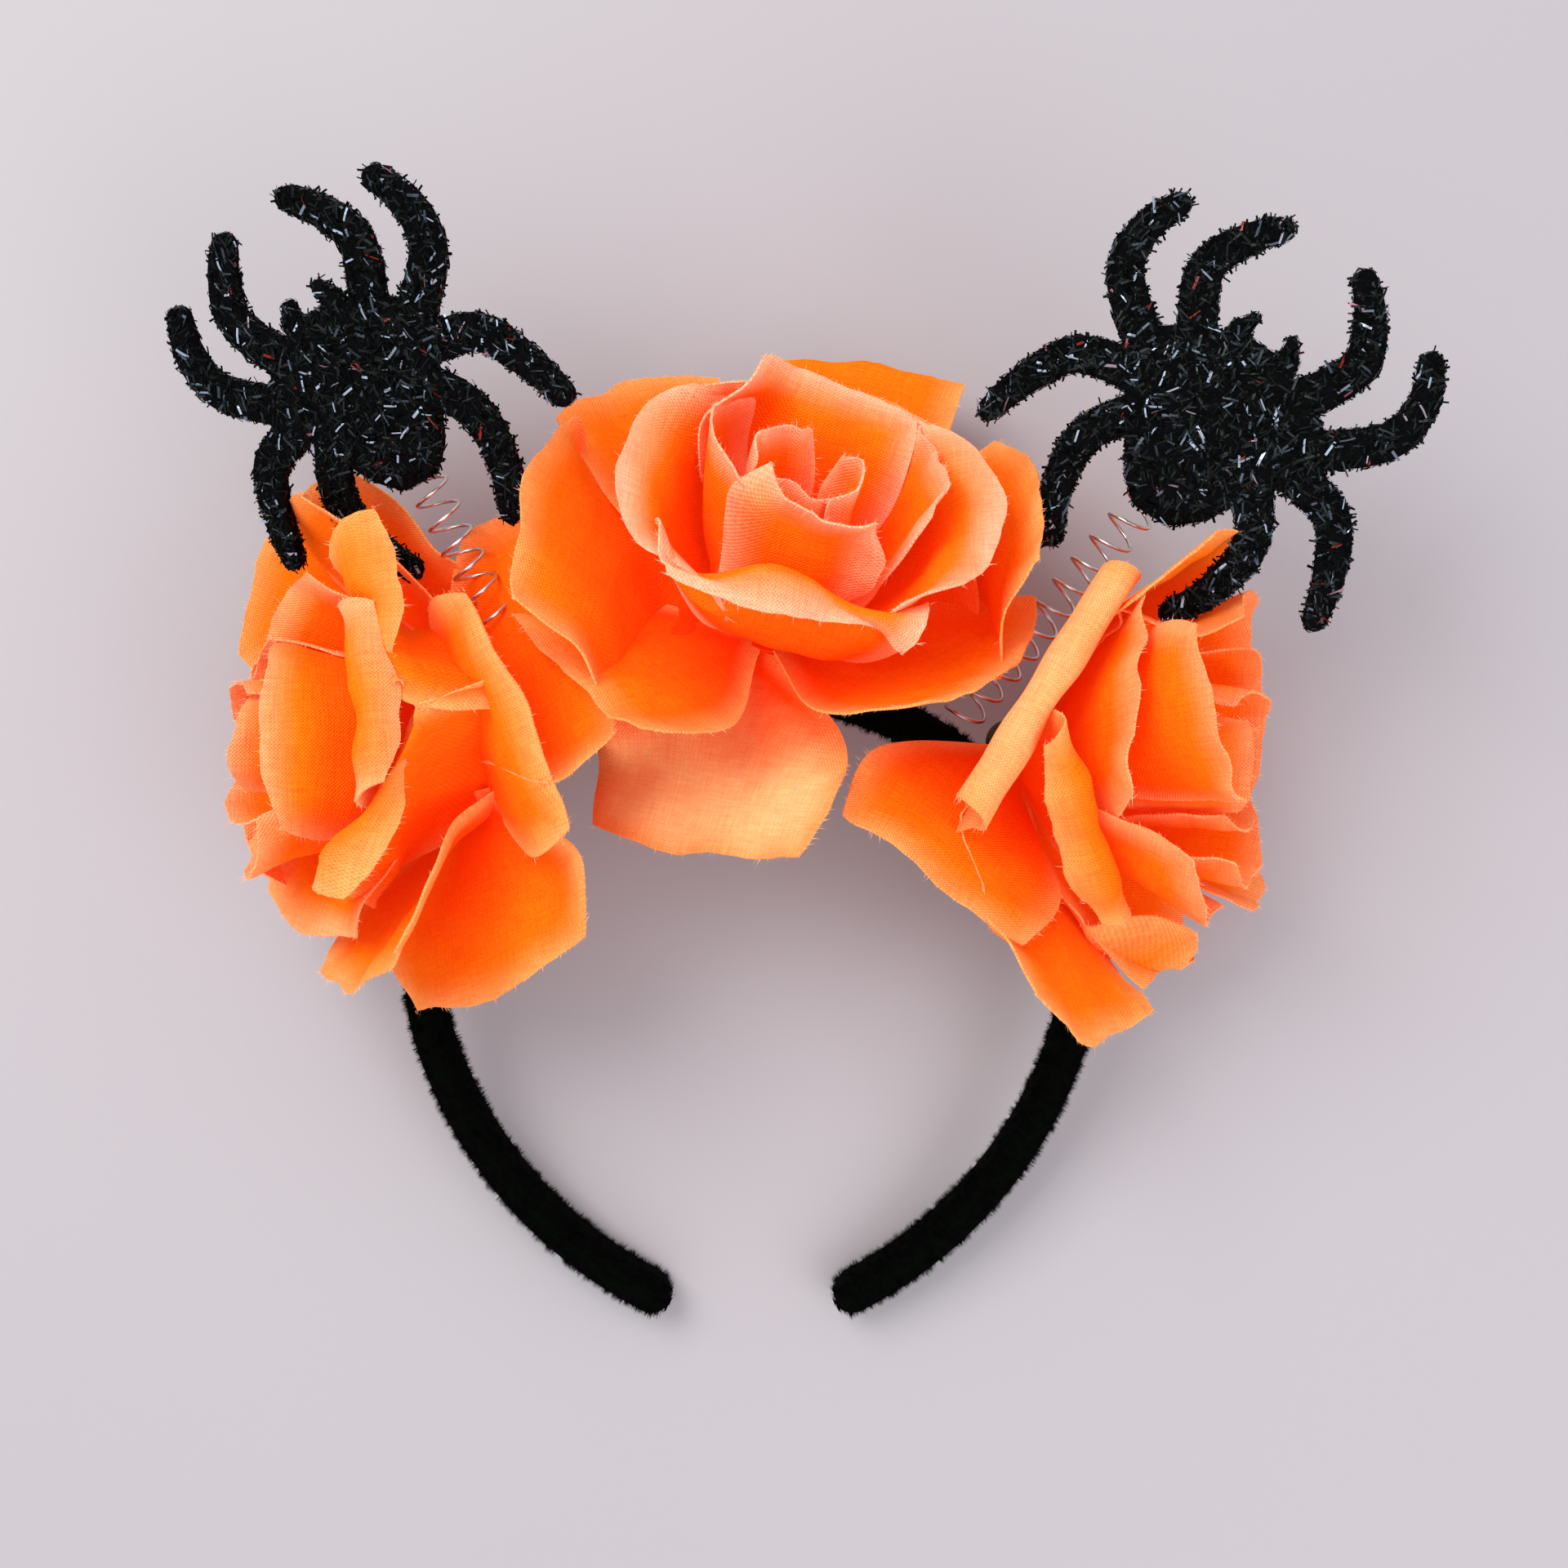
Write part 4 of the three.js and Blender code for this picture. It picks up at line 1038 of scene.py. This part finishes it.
def tinselFinish():
    finish = Finish("tinselFlakes", **{"Metallic": 0.5, "Roughness": 0.2, "Specular IOR Level": 0.05})
    tone = finish.attribute("tone")
    # painted glints: most flakes are black to dark grey, and the few bright silvery-blue and red ones stand
    # for the coloured sparkle of the laser tinsel
    colour = finish.node("ValToRGB", {"stops": [
        (0.0, (0.001, 0.0014, 0.0011)), (0.5, (0.003, 0.004, 0.0035)), (0.86, (0.014, 0.018, 0.017)),
        (0.95, (0.05, 0.066, 0.085)), (0.984, (0.4, 0.5, 0.62)), (0.995, (0.2, 0.02, 0.015))]}, {"Fac": tone})
    finish.feed("Base Color", colour)
    finish.feed("Roughness", 0.12 + tone * 0.2)
    return finish.material


def makeFlakes(name, foam):
    data = foam.data
    data.calc_loop_triangles()
    corners = np.array([v.co for v in data.vertices])
    tris = np.array([t.vertices for t in data.loop_triangles])
    a, b, c = corners[tris[:, 0]], corners[tris[:, 1]], corners[tris[:, 2]]
    across = np.cross(b - a, c - a)
    size = np.linalg.norm(across, axis=1)
    normals = across / size[:, None]
    picked = chance.choice(len(tris), spider["flakes"], p=size / size.sum())
    points, faces, tonesAndGlints = [], [], []
    for t in picked:
        u, v = chance.rand(2)
        if u + v > 1:
            u, v = 1 - u, 1 - v
        root = a[t] + (b[t] - a[t]) * u + (c[t] - a[t]) * v
        normal = normals[t]
        way = unit(np.cross(normal, chance.normal(0, 1, 3)))
        way = unit(way + normal * chance.normal(*spider["flakeRise"]))
        side = unit(np.cross(normal + chance.normal(0, spider["flakeTilt"], 3), way))
        length, width = chance.uniform(*spider["flakeLength"]), chance.uniform(*spider["flakeWidth"])
        if abs(normal[2]) < 0.7 and chance.rand() > spider["edgeLong"]:  # few long ones at the cut edge
            length *= spider["edgeFlake"]
        centre = root + normal * chance.uniform(0.0, spider["flakeOff"])
        bow = np.cross(way, side) * spider["flakeBow"] * length
        first = len(points)
        for k in (-1, 0, 1):
            for w in (-1, 1):
                points.append(centre + way * k * length / 2 + side * w * width / 2 + bow * (1 - abs(k)))
        faces += [(first, first + 1, first + 3, first + 2), (first + 2, first + 3, first + 5, first + 4)]
        # each flake's random value picks its tone, and for a few flakes a painted glint
        tonesAndGlints += [chance.rand()] * 6
    thing = meshFrom(name + "SpiderTinsel", points, faces)
    pointValues(thing, "tone", tonesAndGlints)
    return thing


def makeSpider(name, plan, springMatrix, foam, flakes):
    steps = spider["bodySteps"]
    half = [splinePoint(bodyHalf, i / steps) * spider["length"] for i in range(steps + 1)]
    plates = [plate(half + [(-x, y) for x, y in reversed(half)])]
    for side in (1, -1):
        plates += [plate(legOutline(route, side)) for route in legRoutes]
        plates.append(plate([(side * x * spider["length"], y * spider["length"]) for x, y in fang]))
    thing = joinAll(name + "SpiderFoam", plates)
    thing.data.remesh_voxel_size = spider["voxel"]
    choose(thing)
    bpy.ops.object.voxel_remesh()
    applyModifier(thing, "SMOOTH", factor=0.6, iterations=5)
    wireOut = spring["coil"] / 2 + spring["wire"]
    radius = wireOut / math.cos(math.radians(plan["roll"])) + spider["clearance"]
    turned = (Matrix.Rotation(-math.pi / 2, 4, "X")
              @ Matrix.Rotation(math.radians(180 + plan["bearing"] + plan["heading"]), 4, "Z")
              @ Matrix.Rotation(math.radians(-plan["roll"]), 4, "Y"))
    matrix = springMatrix @ Matrix.Translation((0, radius, spring["length"] * plan["stretch"])) @ turned
    glitter = makeFlakes(name, thing)
    toRow(thing, matrix)
    toRow(glitter, matrix)
    smoothShade(thing, 60)
    place(thing, foam, "tinsel", name + "_spider")
    place(glitter, flakes, "tinsel")


wireFinish, foamBlack, flakeFinish = steelFinish(), foamFinish(), tinselFinish()
for wobblerName, wobblerPlan in wobblers.items():
    out = spring["coil"] / 4 + spring["wire"] + spider["clearance"]
    springFrame = pinMatrix(wobblerPlan["seat"], out, wobblerPlan["heading"], wobblerPlan["lift"])
    makeSpring(wobblerName, wobblerPlan, springFrame, wireFinish)
    makeSpider(wobblerName, wobblerPlan, springFrame, foamBlack, flakeFinish)
print("springs and spiders made")

# table and light

table = {"size": 9.0, "colour": (0.42, 0.402, 0.417)}
light = {
    "world": (0.92, 0.90, 0.95), "worldStrength": 1.0,
    "key": {"place": (-0.45, 0.42, 0.85), "size": 0.6, "power": 7.2, "colour": (1.0, 0.97, 0.95)},
    "fill": {"place": (0.6, -0.5, 0.7), "size": 0.7, "power": 3.6, "colour": (0.96, 0.96, 1.0)},
}


def makeTable():
    bpy.ops.mesh.primitive_plane_add(size=table["size"], location=(0, 0, 0))
    thing = newest("tableTop")
    finish = Finish("tableWhite", **{"Roughness": 0.55, "Specular IOR Level": 0.25})
    cloud, colour = finish.noise(3.0), table["colour"]
    finish.feed("Base Color", finish.mix(cloud, rgba(colour, 0.96), rgba(colour, 1.03)))
    thing.data.materials.append(finish.material)


def makeLight(name, plan):
    bpy.ops.object.light_add(type="AREA", location=plan["place"])
    lamp = bpy.context.object
    lamp.name = name
    lamp.data.energy = plan["power"]
    lamp.data.size = plan["size"]
    lamp.data.color = plan["colour"]
    lamp.rotation_euler = (-Vector(plan["place"])).to_track_quat("-Z", "Y").to_euler()


makeTable()
makeLight("windowLight", light["key"])
makeLight("roomLight", light["fill"])
world = bpy.context.scene.world or bpy.data.worlds.new("room")
bpy.context.scene.world = world
world.use_nodes = True
background = world.node_tree.nodes["Background"]
background.inputs["Color"].default_value = rgba(light["world"])
background.inputs["Strength"].default_value = light["worldStrength"]
bpy.context.scene.view_settings.view_transform = "Standard"
print("table and light set")
